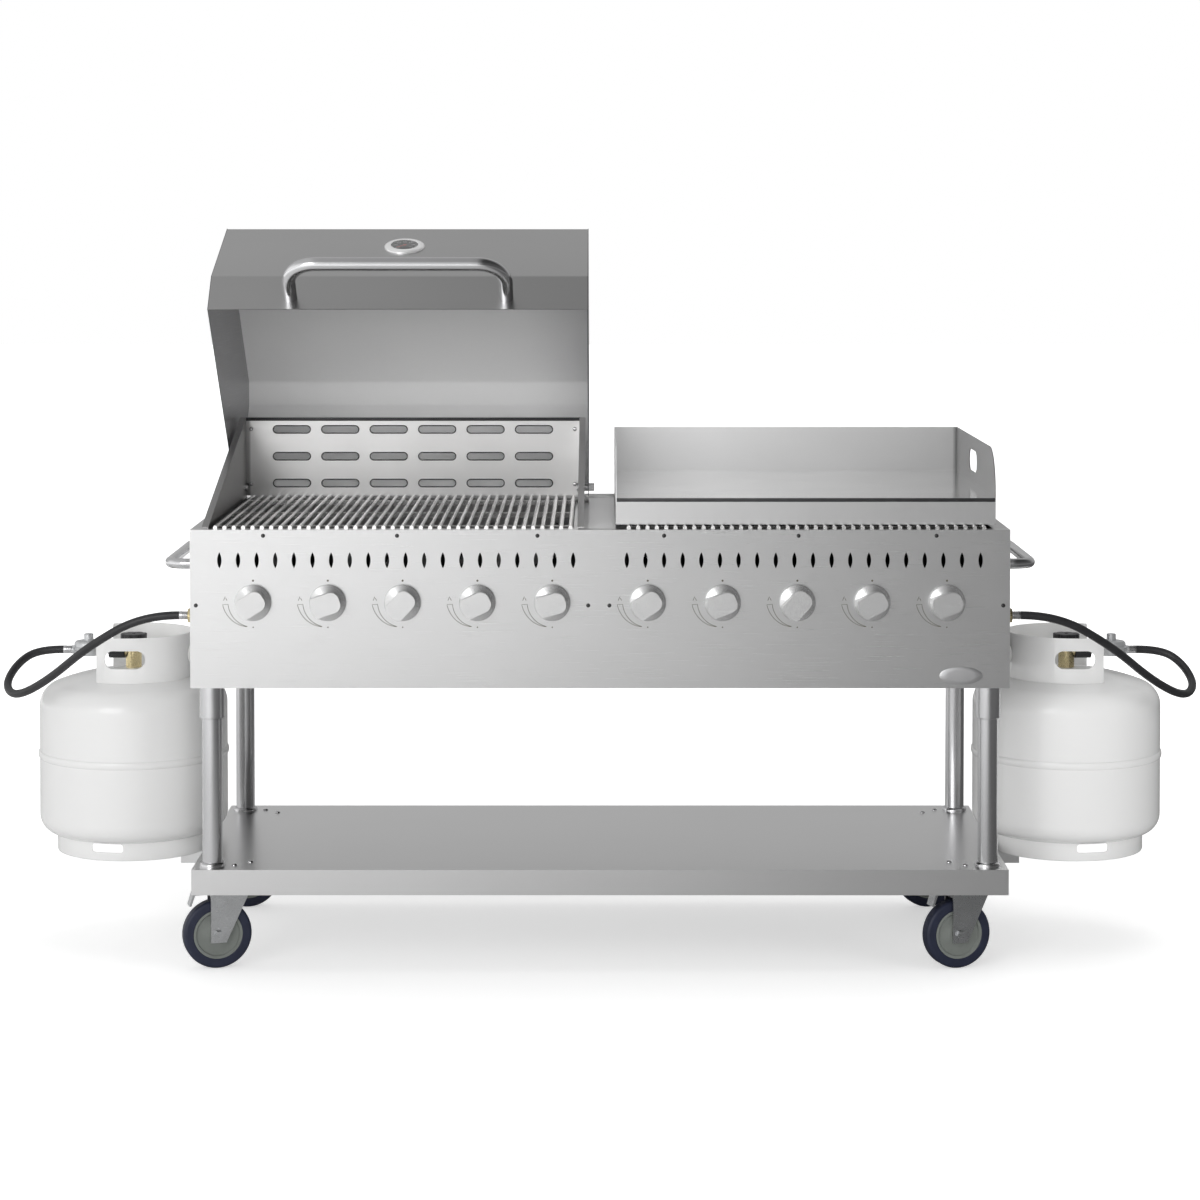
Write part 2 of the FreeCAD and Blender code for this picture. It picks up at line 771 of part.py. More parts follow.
def grate(side):
    """Front-to-back bars with bevelled crowns on three cross bars."""
    body = new_body(f"{side}_grate")
    half = "((bars_per_grate - 1) * bar_pitch / 2)"
    outer = f"{half} + bar_width / 2"
    under, over = "-cross_bar", "cross_bed"
    cross = sketch_on(body, f"{side}_cross_bar", "xz", "-cross_front")
    polygon(cross, [(f"-({outer})", under), (outer, under), (outer, over), (f"-({outer})", over)])
    first_cross = pad(body, cross, "cross_bar")
    bar = sketch_on(body, f"{side}_bar", "xz", "-grate_inset")
    edge, crown = "bar_width / 2", "bar_width / 2 - bar_chamfer"
    centre = f"-{half}"
    polygon(bar, [
        (f"{centre} - {edge}", "0"),
        (f"{centre} + {edge}", "0"),
        (f"{centre} + {edge}", "bar_height - bar_chamfer"),
        (f"{centre} + {crown}", "bar_height"),
        (f"{centre} - ({crown})", "bar_height"),
        (f"{centre} - {edge}", "bar_height - bar_chamfer"),
    ])
    first_bar = pad(body, bar, "box_depth - 2 * grate_inset")
    repeat(body, first_bar, "x", "bars_per_grate", "bar_pitch")
    repeat(body, first_cross, "y", "3", "cross_pitch")
    node(f"{side}_grate", put(body, x=f"{side}_grate_x", y="front_y", z=PANEL_TOP))


# Wind guard, lid and hinge


def wind_guard():
    """A slotted back sheet between two sloping side sheets with lips folded outward."""
    back = new_body("guard_back_sheet")
    face = sketch_on(back, "guard_back_face", "xz")
    low, high = "guard_left + guard_wall", "guard_right - guard_wall"
    polygon(face, [(low, GRATE_TOP), (high, GRATE_TOP), (high, "guard_top"), (low, "guard_top")])
    pad(back, face, "guard_wall")
    first_x = "(guard_left + guard_right) / 2 - (slot_columns - 1) / 2 * slot_pitch_x"
    for row in range(int(number("slot_rows"))):
        opening = sketch_on(back, f"guard_slot_row_{row + 1}", "xz")
        slot(opening, first_x, f"slot_low_z + {row} * slot_pitch_z", "slot_length", "slot_width")
        repeat(back, pocket(back, opening, "guard_wall"), "x", "slot_columns", "slot_pitch_x")
    put(back, y=f"front_y + {GUARD_BACK}")
    front_top, side_top = f"{PANEL_TOP} + guard_front_rise", "guard_top"
    sheets = [back]
    step_down = [("panel_return", PANEL_TOP), ("panel_return", LEDGE_TOP)]
    for side, step, base, wall, lip in (
        ("left", [], PANEL_TOP, "guard_left", "guard_left - guard_lip"),
        ("right", step_down, LEDGE_TOP, "guard_right - guard_wall", "guard_right"),
    ):
        outline = [
            ("guard_front", PANEL_TOP),
            *step,
            (GUARD_REAR_END, base),
            (GUARD_REAR_END, f"{side_top} - guard_lip"),
            (GUARD_BACK, side_top),
            ("guard_front", front_top),
        ]
        sheet_side = put(prism(f"{side}_guard_sheet", "yz", outline, "guard_wall"), x=wall, y="front_y")
        lip_outline = [
            ("guard_front", f"{front_top} - guard_wall"),
            (GUARD_BACK, f"{side_top} - guard_wall"),
            (GUARD_BACK, side_top),
            ("guard_front", front_top),
        ]
        fold = put(prism(f"{side}_guard_lip", "yz", lip_outline, "guard_lip"), x=lip, y="front_y")
        solid = fuse(f"{side}_guard_solid", [sheet_side, fold])
        pin_start = (f"{wall} - guard_lip", HINGE_Y, "hinge_z")
        hole = rod(f"{side}_guard_hole", "hinge_pin_radius + running_gap", pin_start, "3 * guard_lip", "x")
        sheets.append(cut(f"{side}_guard_side", solid, [hole]))
    node("wind_guard", group("wind_guard", sheets))


def hinge_bolts():
    """The lid turns on a headed bolt at each side of the guard, with a spacer and a nut."""
    bolts = []
    for side, sign, wall, lid_side in (
        ("left", -1, "guard_left", "lid_left"),
        ("right", 1, "guard_right", "lid_right"),
    ):
        inner = f"{wall} - {sign} * guard_wall"
        lid_inner = f"{lid_side} - {sign} * lid_wall"

        def stretch(shape, name, radius, start, end):
            low, high = (start, end) if sign > 0 else (end, start)
            at = (low, HINGE_Y, "hinge_z")
            return shape(f"{side}_hinge_{name}", radius, at, f"{high} - ({low})", "x")

        head_end = f"{inner} - {sign} * hinge_head"
        nut_start = f"{lid_side} + {sign} * hinge_gap"
        nut_end = f"{lid_side} + {sign} * (hinge_gap + hinge_nut)"
        spacer_end = f"{lid_inner} - {sign} * hinge_gap"
        pieces = [
            stretch(rod, "shank", "hinge_pin_radius", head_end, nut_end),
            stretch(hex_rod, "head", "hinge_head_radius", head_end, inner),
            stretch(rod, "spacer", "hinge_head_radius", wall, spacer_end),
            stretch(hex_rod, "nut", "hinge_head_radius", nut_start, nut_end),
        ]
        bolts.append(fuse(f"{side}_hinge_bolt", pieces))
    node("hinge_bolts", group("hinge_bolts", bolts))


def on_lid(item, x=0):
    """Swing a piece drawn about the hinge line to the open lid's place."""
    return put(item, x, HINGE_Y, "hinge_z", ("-x", "lid_open"))


LID_OUTLINE = [
    ("-lid_front", "-hinge_boss"),
    ("-lid_fold_front", "lid_fold_rise"),
    ("-lid_top_front", "lid_top_rise"),
    ("lid_top_rear", "lid_top_rise"),
    ("lid_rear", "lid_rear_rise"),
    ("lid_rear", "lid_rear_low"),
]
SLOPE_RUN = "(lid_fold_front - lid_top_front)"
SLOPE_RISE = "(lid_top_rise - lid_fold_rise)"
SLOPE = f"sqrt({SLOPE_RUN} ^ 2 + {SLOPE_RISE} ^ 2)"
DIAL_Y = f"(-lid_fold_front + dial_up_slope * {SLOPE_RUN} / {SLOPE})"
DIAL_Z = f"(lid_fold_rise + dial_up_slope * {SLOPE_RISE} / {SLOPE})"
LID_MIDDLE = "((lid_left + lid_right) / 2)"


def slope_rod(name, radius, start, length):
    """A cylinder square to the lid's sloping face, from a distance outside it inwards."""
    lean = math.degrees(math.atan2(number(SLOPE_RUN), number(SLOPE_RISE)))
    inward = doc.addObject("Part::Cylinder", name)
    inward.Placement = Placement(Vector(), Rotation(AXES["-x"], 90 + lean))
    inward.setExpression("Placement.Rotation.Angle", bound(f"90 deg + atan({SLOPE_RUN} / {SLOPE_RISE})"))
    bind(inward, Radius=radius, Height=length)
    y = f"{DIAL_Y} - ({start}) * {SLOPE_RISE} / {SLOPE}"
    z = f"{DIAL_Z} + ({start}) * {SLOPE_RUN} / {SLOPE}"
    return put(inward, LID_MIDDLE, y, z)


def lid():
    """The folded lid sheet, its two side plates, the tube handle and the thermometer."""
    body = new_body("lid_sheet")
    outline = sketch_on(body, "lid_outline", "yz")
    polygon(outline, LID_OUTLINE)
    length = "lid_right - lid_left - 2 * lid_wall"
    solid = pad(body, outline, length)
    doc.recompute()
    open_faces = []
    for index, face in enumerate(solid.Shape.Faces, start=1):
        normal = face.normalAt(0, 0)
        if abs(normal.x) > 0.9 or normal.z < -0.9:
            open_faces.append(f"Face{index}")
    wall = body.newObject("PartDesign::Thickness", "lid_wall_sheet")
    wall.Base = (solid, open_faces)
    wall.Join = 1
    wall.Reversed = True
    bind(wall, Value="lid_wall")
    put(body, x="lid_left + lid_wall")
    hole = slope_rod("dial_hole", "probe_radius + running_gap", "lid_wall", "4 * lid_wall")
    shell = cut("lid_shell", body, [hole])
    node("lid_shell", on_lid(shell))

    plates = []
    boss_corner = ("hinge_boss * 0.7", "-hinge_boss")
    for side, at in (("left", "lid_left"), ("right", "lid_right - lid_wall")):
        plate = prism(f"{side}_lid_plate", "yz", LID_OUTLINE + [boss_corner], "lid_wall")
        base = plate.Tip
        corner = {"y": number(boss_corner[0]), "z": number(boss_corner[1])}
        round_edges(plate, base, f"{side}_boss", "hinge_boss", lambda edge: lies_at(edge, **corner))
        put(plate, x=at)
        bore_start = (f"{at} - lid_wall", "0", "0")
        bore = rod(f"{side}_hinge_bore", "hinge_pin_radius + running_gap", bore_start, "3 * lid_wall", "x")
        plates.append(cut(f"{side}_lid_side", plate, [bore]))
    node("lid_sides", on_lid(group("lid_sides", plates)))

    half = "(handle_width / 2 - handle_radius)"
    grip_y = "(-lid_front - handle_reach)"
    grip_start = (f"{LID_MIDDLE} - {half} + handle_bend", grip_y, "handle_rise")
    tube = [rod("handle_grip", "handle_radius", grip_start, f"2 * ({half} - handle_bend)", "x")]
    for side, sign in SIDES.items():
        x = f"{LID_MIDDLE} + {sign} * {half}"
        foot = rod(f"handle_{side}_foot", "handle_radius", (x, f"{grip_y} + handle_bend", "handle_rise"),
                   f"-lid_fold_front - ({grip_y} + handle_bend)", "y")
        bend_x = f"{LID_MIDDLE} + {sign} * ({half} - handle_bend)"
        bend_at = (bend_x, f"{grip_y} + handle_bend", "handle_rise")
        outward = Vector(sign, 0, 0)
        first, second = (outward, -AXES["y"]) if sign < 0 else (-AXES["y"], outward)
        bend = quarter_bend(f"handle_{side}_bend", "handle_bend", "handle_radius", bend_at, first, second)
        tube += [foot, bend]
    seat = put(prism("handle_seat", "yz", LID_OUTLINE, "lid_right - lid_left"), x="lid_left")
    node("lid_handle", on_lid(cut("lid_handle", fuse("handle_tube", tube), [seat])))

    case = slope_rod("dial_case", "dial_radius", "dial_depth", "dial_depth")
    recess = slope_rod("dial_recess_cut", "dial_radius - dial_rim", "dial_depth", "dial_recess")
    probe = slope_rod("dial_probe", "probe_radius", "0", "probe_length")
    ring = cut("dial_ring", case, [recess])
    node("thermometer", on_lid(fuse("thermometer", [ring, probe])))


# Griddle


def griddle():
    """A thick plate on an open apron, between the walls of a splash guard on three sides."""
    across = ("griddle_left", "griddle_right")
    depth = ("front_y + griddle_front", f"front_y + {GRIDDLE_BACK}")
    inner_x = ("griddle_left + apron_wall", "griddle_right - apron_wall")
    inner_y = (f"{depth[0]} + apron_wall", f"{depth[1]} - apron_wall")
    through = (f"{GRATE_TOP} - apron_height", f"{PLATE_LOW} + apron_height")
    apron = pan("griddle_apron", across, depth, (GRATE_TOP, PLATE_LOW), inner_x, inner_y, through)
    node("griddle_apron", apron)
    plate_x = ("griddle_left + splash_wall", "griddle_right - splash_wall")
    plate_y = (depth[0], f"{depth[1]} - splash_wall")
    node("griddle_plate", block("griddle_plate", plate_x, plate_y, (PLATE_LOW, PLATE_TOP)))
    top = f"{PLATE_TOP} + splash_height"
    back = block("splash_back", plate_x, (plate_y[1], depth[1]), (PLATE_LOW, top))
    walls = [back]
    for side, x in (("left", "griddle_left"), ("right", "griddle_right - splash_wall")):
        outline = [
            ("griddle_front", PLATE_LOW),
            (GRIDDLE_BACK, PLATE_LOW),
            (GRIDDLE_BACK, top),
            ("griddle_front", top),
        ]
        wall = prism(f"{side}_splash", "yz", outline, "splash_wall")
        corner = {"y": number("griddle_front"), "z": number(top)}
        round_edges(wall, wall.Tip, f"{side}_splash_corner", "splash_corner",
                    lambda edge: lies_at(edge, **corner))
        hole = sketch_on(wall, f"{side}_grip_hole", "yz")
        slot(hole, "grip_hole_y", f"{PLATE_TOP} + grip_hole_rise", "grip_hole_length", "grip_hole_height")
        pocket(wall, hole, "splash_wall")
        walls.append(put(wall, x=x, y="front_y"))
    node("griddle_guard", fuse("griddle_guard", walls))


def side_handles():
    """A U of tube on each end of the firebox, to push the cart by."""
    handles = []
    for side, sign in SIDES.items():
        wall, grip_x = f"{sign} * {HALF_WIDTH}", f"{sign} * ({HALF_WIDTH} + side_handle_reach)"
        near, far = "front_y + side_handle_front", "front_y + side_handle_rear"
        bend_x = f"{sign} * ({HALF_WIDTH} + side_handle_reach - side_handle_bend)"
        length = "side_handle_rear - side_handle_front - 2 * side_handle_bend"
        start = (grip_x, f"{near} + side_handle_bend", "side_handle_z")
        pieces = [rod(f"{side}_push_grip", "side_handle_radius", start, length, "y")]
        outward = Vector(sign, 0, 0)
        for end, y, inside, away in (
            ("front", near, f"{near} + side_handle_bend", -AXES["y"]),
            ("rear", far, f"{far} - side_handle_bend", AXES["y"]),
        ):
            arm_start = wall if sign > 0 else bend_x
            arm = rod(f"{side}_push_{end}_arm", "side_handle_radius", (arm_start, y, "side_handle_z"),
                      "side_handle_reach - side_handle_bend", "x")
            turned = outward.cross(away).z > 0
            first, second = (outward, away) if turned else (away, outward)
            bend = quarter_bend(f"{side}_push_{end}_bend", "side_handle_bend", "side_handle_radius",
                                (bend_x, inside, "side_handle_z"), first, second)
            pieces += [arm, bend]
        handles.append(fuse(f"{side}_push_handle", pieces))
    node("side_handles", group("side_handles", handles))


# Cart


def legs():
    """Tube legs that stand in the channels under the shelf, with sleeves round their heads."""
    tubes, sleeves = [], []
    for side, sign in SIDES.items():
        for end in ("front", "rear"):
            x, y = f"{sign} * leg_x", f"front_y + leg_{end}"
            name = f"{end}_{side}_leg"
            foot, height = (x, y, LEG_FOOT), f"panel_bottom - {LEG_FOOT}"
            tube = rod(f"{name}_outside", "leg_radius", foot, height, "z")
            hollow = rod(f"{name}_inside", "leg_radius - leg_wall", foot, height, "z")
            tubes.append(cut(name, tube, [hollow]))
            start = (x, y, "panel_bottom - sleeve_length")
            outside = rod(f"{name}_sleeve_outside", "sleeve_radius", start, "sleeve_length", "z")
            bore = rod(f"{name}_sleeve_bore", "leg_radius + leg_gap", start, "sleeve_length", "z")
            sleeves.append(cut(f"{name}_sleeve", outside, [bore]))
    node("legs", group("legs", tubes))
    node("leg_sleeves", group("leg_sleeves", sleeves))


def leg_holes():
    """The holes in the shelf that the legs go through."""
    holes = []
    for side, sign in SIDES.items():
        for end in ("front", "rear"):
            start = (f"{sign} * leg_x", f"front_y + leg_{end}", f"{SHELF_UNDER} - shelf_wall")
            holes.append(rod(f"{end}_{side}_leg_hole", "leg_radius + leg_gap", start, "3 * shelf_wall", "z"))
    return holes


def shelf():
    """The undershelf, a sheet with its rim folded down, and the channels under it that carry the casters."""
    across, depth = (f"-{HALF_WIDTH}", HALF_WIDTH), ("front_y", "front_y + shelf_depth")
    inner_x = (f"-{HALF_WIDTH} + shelf_wall", f"{HALF_WIDTH} - shelf_wall")
    inner_y = ("front_y + shelf_wall", "front_y + shelf_depth - shelf_wall")
    rim_low = "(shelf_top - shelf_rim)"
    sheet_pan = pan("shelf_pan", across, depth, (rim_low, "shelf_top"), inner_x, inner_y,
                    (f"{rim_low} - shelf_rim", SHELF_UNDER))
    node("shelf", cut("shelf", sheet_pan, rim_notches() + leg_holes()))
    channels = []
    for side, sign in SIDES.items():
        x = f"{sign} * caster_x"
        outer = (f"{x} - stiffener_width / 2", f"{x} + stiffener_width / 2")
        inner = (f"{outer[0]} + shelf_wall", f"{outer[1]} - shelf_wall")
        height = (STIFFENER_LOW, SHELF_UNDER)
        hollow = (f"{STIFFENER_LOW} + shelf_wall", f"{SHELF_UNDER} + shelf_wall")
        channels.append(pan(f"{side}_stiffener", outer, inner_y, height, inner, inner_y, hollow))
    node("shelf_stiffeners", group("shelf_stiffeners", channels))


def tank_arms():
    """Two square tubes at each end, through the shelf's rim, that carry a propane cylinder."""
    arms = []
    for side, sign in SIDES.items():
        inner, outer = f"{sign} * arm_inner", f"{sign} * ({HALF_WIDTH} + arm_reach)"
        across = (inner, outer) if sign > 0 else (outer, inner)
        for end, shift in (("front", "- arm_spread"), ("rear", "+ arm_spread")):
            middle = f"({TANK_Y} {shift})"
            depth = (f"{middle} - arm_side / 2", f"{middle} + arm_side / 2")
            height = (f"{STIFFENER_LOW} - arm_side", STIFFENER_LOW)
            inner_y = (f"{depth[0]} + arm_wall", f"{depth[1]} - arm_wall")
            inner_z = (f"{height[0]} + arm_wall", f"{height[1]} - arm_wall")
            arms.append(pan(f"{side}_{end}_arm", across, depth, height, across, inner_y, inner_z))
    node("tank_arms", group("tank_arms", arms))


def rim_notches():
    """The openings in the shelf's rim for the tank arms."""
    openings = []
    for side, sign in SIDES.items():
        edge = f"{sign} * {HALF_WIDTH}"
        across = (f"{edge} - 2 * shelf_wall", f"{edge} + 2 * shelf_wall")
        for end, shift in (("front", "- arm_spread"), ("rear", "+ arm_spread")):
            middle = f"({TANK_Y} {shift})"
            depth = (f"{middle} - arm_side / 2", f"{middle} + arm_side / 2")
            height = (f"{STIFFENER_LOW} - arm_side", STIFFENER_LOW)
            openings.append(block(f"{side}_{end}_notch", across, depth, height))
    return openings


def wheel_section(section):
    """Half of a caster wheel's outline: a hub that is wider than the tyre."""
    half_tyre, half_hub = "tyre_width / 2", "(fork_inside / 2 - caster_gap)"
    bore = "(axle_radius + running_gap)"
    polygon(section, [
        (bore, f"-{half_hub}"),
        ("hub_radius", f"-{half_hub}"),
        ("hub_radius", f"-{half_tyre}"),
        ("wheel_radius", f"-{half_tyre}"),
        ("wheel_radius", half_tyre),
        ("hub_radius", half_tyre),
        ("hub_radius", half_hub),
        (bore, half_hub),
    ])


def caster(end, side):
    """A caster's top plate with its race and kingpin, its fork and axle, and its wheel."""
    name = f"{end}_{side}"
    x, y = f"{SIDES[side]} * caster_x", f"front_y + caster_{end}"
    plate_low = f"({STIFFENER_LOW} - caster_plate_wall)"
    half = "caster_plate / 2"
    square = block(f"{name}_plate_square", (f"-{half}", half), (f"-{half}", half), ("0", "caster_plate_wall"))
    race = rod(f"{name}_race", "race_radius", ("0", "0", "-race_height"), "race_height", "z")
    pin_low = "(-race_height - 2 * caster_gap - crown)"
    pin = rod(f"{name}_kingpin", "kingpin_radius", ("0", "0", pin_low), f"-({pin_low})", "z")
    head_low = f"({pin_low} - kingpin_head)"
    head = hex_rod(f"{name}_kingpin_head", "kingpin_head_radius", ("0", "0", head_low), "kingpin_head", "z")
    plate = put(fuse(f"{name}_plate", [square, race, pin, head]), x, y, plate_low, ("z", "45"))

    axle_x = "-caster_trail"
    inside, outside = "(fork_inside / 2)", "(fork_inside / 2 + fork_wall)"
    crown_low = f"({CROWN_TOP} - crown)"
    yoke_x, yoke_y = ("-fork_back", "fork_nose"), (f"-{outside}", outside)
    yoke = block(f"{name}_crown", yoke_x, yoke_y, (crown_low, CROWN_TOP))
    cheeks = []
    for sign, cheek_side in ((-1, "near"), (1, "far")):
        outline = [
            ("-fork_back", "wheel_radius - fork_foot"),
            (f"{axle_x} + fork_foot", "wheel_radius - fork_foot"),
            ("fork_nose", f"{CROWN_TOP} - fork_cheek"),
            ("fork_nose", crown_low),
            ("-fork_back", crown_low),
        ]
        cheek = prism(f"{name}_{cheek_side}_cheek", "xz", outline, "fork_wall")
        cheeks.append(put(cheek, y=f"-{outside}" if sign < 0 else inside))
    frame = fuse(f"{name}_yoke", [yoke] + cheeks)
    bore = rod(f"{name}_swivel_bore", "kingpin_radius + running_gap", ("0", "0", f"{crown_low} - crown"),
               "3 * crown", "z")
    shank_start = (axle_x, f"-{inside}", "wheel_radius")
    pieces = [
        rod(f"{name}_axle", "axle_radius", shank_start, f"2 * {inside}", "y"),
        hex_rod(f"{name}_axle_head", "axle_head_radius", (axle_x, f"-{outside} - axle_head", "wheel_radius"),
                "axle_head", "y"),
        hex_rod(f"{name}_axle_nut", "axle_head_radius", (axle_x, outside, "wheel_radius"), "axle_head", "y"),
    ]
    if end == "front":
        pin_at = ("-pedal_pivot_back", f"-{inside}", "pedal_pivot_z")
        pieces.append(rod(f"{name}_pedal_pin", "pedal_pin_radius", pin_at, f"2 * {inside}", "y"))
    pieces.append(cut(f"{name}_fork_frame", frame, [bore]))
    fork = group(f"{name}_fork", pieces)
    node(f"{name}_fork", put(fork, x, y, "0", ("z", "caster_turn")))

    wheel = turned_body(f"{name}_wheel_body", wheel_section)
    put(wheel, z="wheel_radius", x=axle_x, turn=("-x", "90"))
    upright = group(f"{name}_wheel", [wheel])
    node(f"{name}_wheel", put(upright, x, y, "0", ("z", "caster_turn")))

    if end == "front":
        pivot_x, pivot_z = "-pedal_pivot_back", "pedal_pivot_z"
        outline = [
            ("pedal_boss", "-pedal_boss"),
            ("pedal_boss", "pedal_boss"),
            ("-pedal_reach + pedal_wall", "pedal_boss"),
            ("-pedal_reach - pedal_wall", "-pedal_drop"),
            ("-pedal_reach", "-pedal_drop"),
            ("-pedal_reach + 2 * pedal_wall", "pedal_boss - pedal_wall"),
            ("-pedal_boss", "pedal_boss - pedal_wall"),
            ("-pedal_boss", "-pedal_boss"),
        ]
        lever = prism(f"{name}_lever", "xz", outline, "pedal_width")
        put(lever, pivot_x, "-pedal_width / 2", pivot_z)
        eye_start = (pivot_x, "-pedal_width", pivot_z)
        eye = rod(f"{name}_lever_eye", "pedal_pin_radius + running_gap", eye_start, "2 * pedal_width", "y")
        pedal = group(f"{name}_pedal", [cut(f"{name}_lever_drilled", lever, [eye])])
        node(f"{name}_brake_pedal", put(pedal, x, y, "0", ("z", "caster_turn")))
    return plate


# Gas supply


def dished_end(apex, crown, knuckle, up):
    """Expressions for a dished end: the knuckle's centre and the point where crown and knuckle meet."""
    way = "+" if up else "-"
    back = "-" if up else "+"
    centre = f"({apex} {back} {crown})"
    offset = f"(tank_radius - {knuckle})"
    drop = f"sqrt(({crown} - {knuckle}) ^ 2 - {offset} ^ 2)"
    share = f"{crown} / ({crown} - {knuckle})"
    knuckle_z = f"({centre} {way} {drop})"
    meet = (f"{offset} * {share}", f"{centre} {way} {drop} * {share}")
    return centre, offset, knuckle_z, meet


def tank_section(section):
    """Half of a cylinder's outline: dished ends with knuckles, drawn beside the axis."""
    low_end = dished_end("tank_bottom", "tank_crown_bottom", "tank_knuckle_bottom", False)
    high_end = dished_end("tank_top", "tank_crown_top", "tank_knuckle_top", True)
    low_centre, low_x, low_z, low_meet = low_end
    high_centre, high_x, high_z, high_meet = high_end

    def arc(centre_x, centre_z, radius, start, end):
        middle = Vector(number(centre_x), number(centre_z), 0)
        angles = []
        for point in (start, end):
            angles.append(math.atan2(number(point[1]) - middle.y, number(point[0]) - middle.x))
        circle = Part.Circle(middle, AXES["z"], number(radius))
        edge = section.addGeometry(Part.ArcOfCircle(circle, *angles))
        hold(section, "DistanceX", (-1, 1, edge, 3), centre_x)
        return edge

    bottom, top = ("0", "tank_bottom"), ("0", "tank_top")
    low_side, high_side = ("tank_radius", low_z), ("tank_radius", high_z)
    arc("0", low_centre, "tank_crown_bottom", bottom, low_meet)
    arc(low_x, low_z, "tank_knuckle_bottom", low_meet, low_side)
    corners = [Vector(number(x), number(z), 0) for x, z in (low_side, high_side, top, bottom)]
    section.addGeometry(Part.LineSegment(corners[0], corners[1]))
    arc(high_x, high_z, "tank_knuckle_top", high_side, high_meet)
    arc("0", high_centre, "tank_crown_top", high_meet, top)
    section.addGeometry(Part.LineSegment(corners[2], corners[3]))
    chain(section, 0, 6)
    for edge, point in enumerate((bottom, low_meet, low_side, high_side, high_meet, top)):
        hold_point(section, edge, 1, *point)


def tank_hollow(section):
    """Half of the space inside a cylinder, with straight lines in place of the dished ends' arcs."""
    low_z, low_meet = dished_end("tank_bottom", "tank_crown_bottom", "tank_knuckle_bottom", False)[2:]
    high_z, high_meet = dished_end("tank_top", "tank_crown_top", "tank_knuckle_top", True)[2:]
    polygon(section, [
        ("0", "tank_bottom + tank_wall"),
        (f"{low_meet[0]} - tank_wall", f"{low_meet[1]} + tank_wall"),
        ("tank_radius - tank_wall", low_z),
        ("tank_radius - tank_wall", high_z),
        (f"{high_meet[0]} - tank_wall", f"{high_meet[1]} - tank_wall"),
        ("0", "tank_top - tank_wall"),
    ])


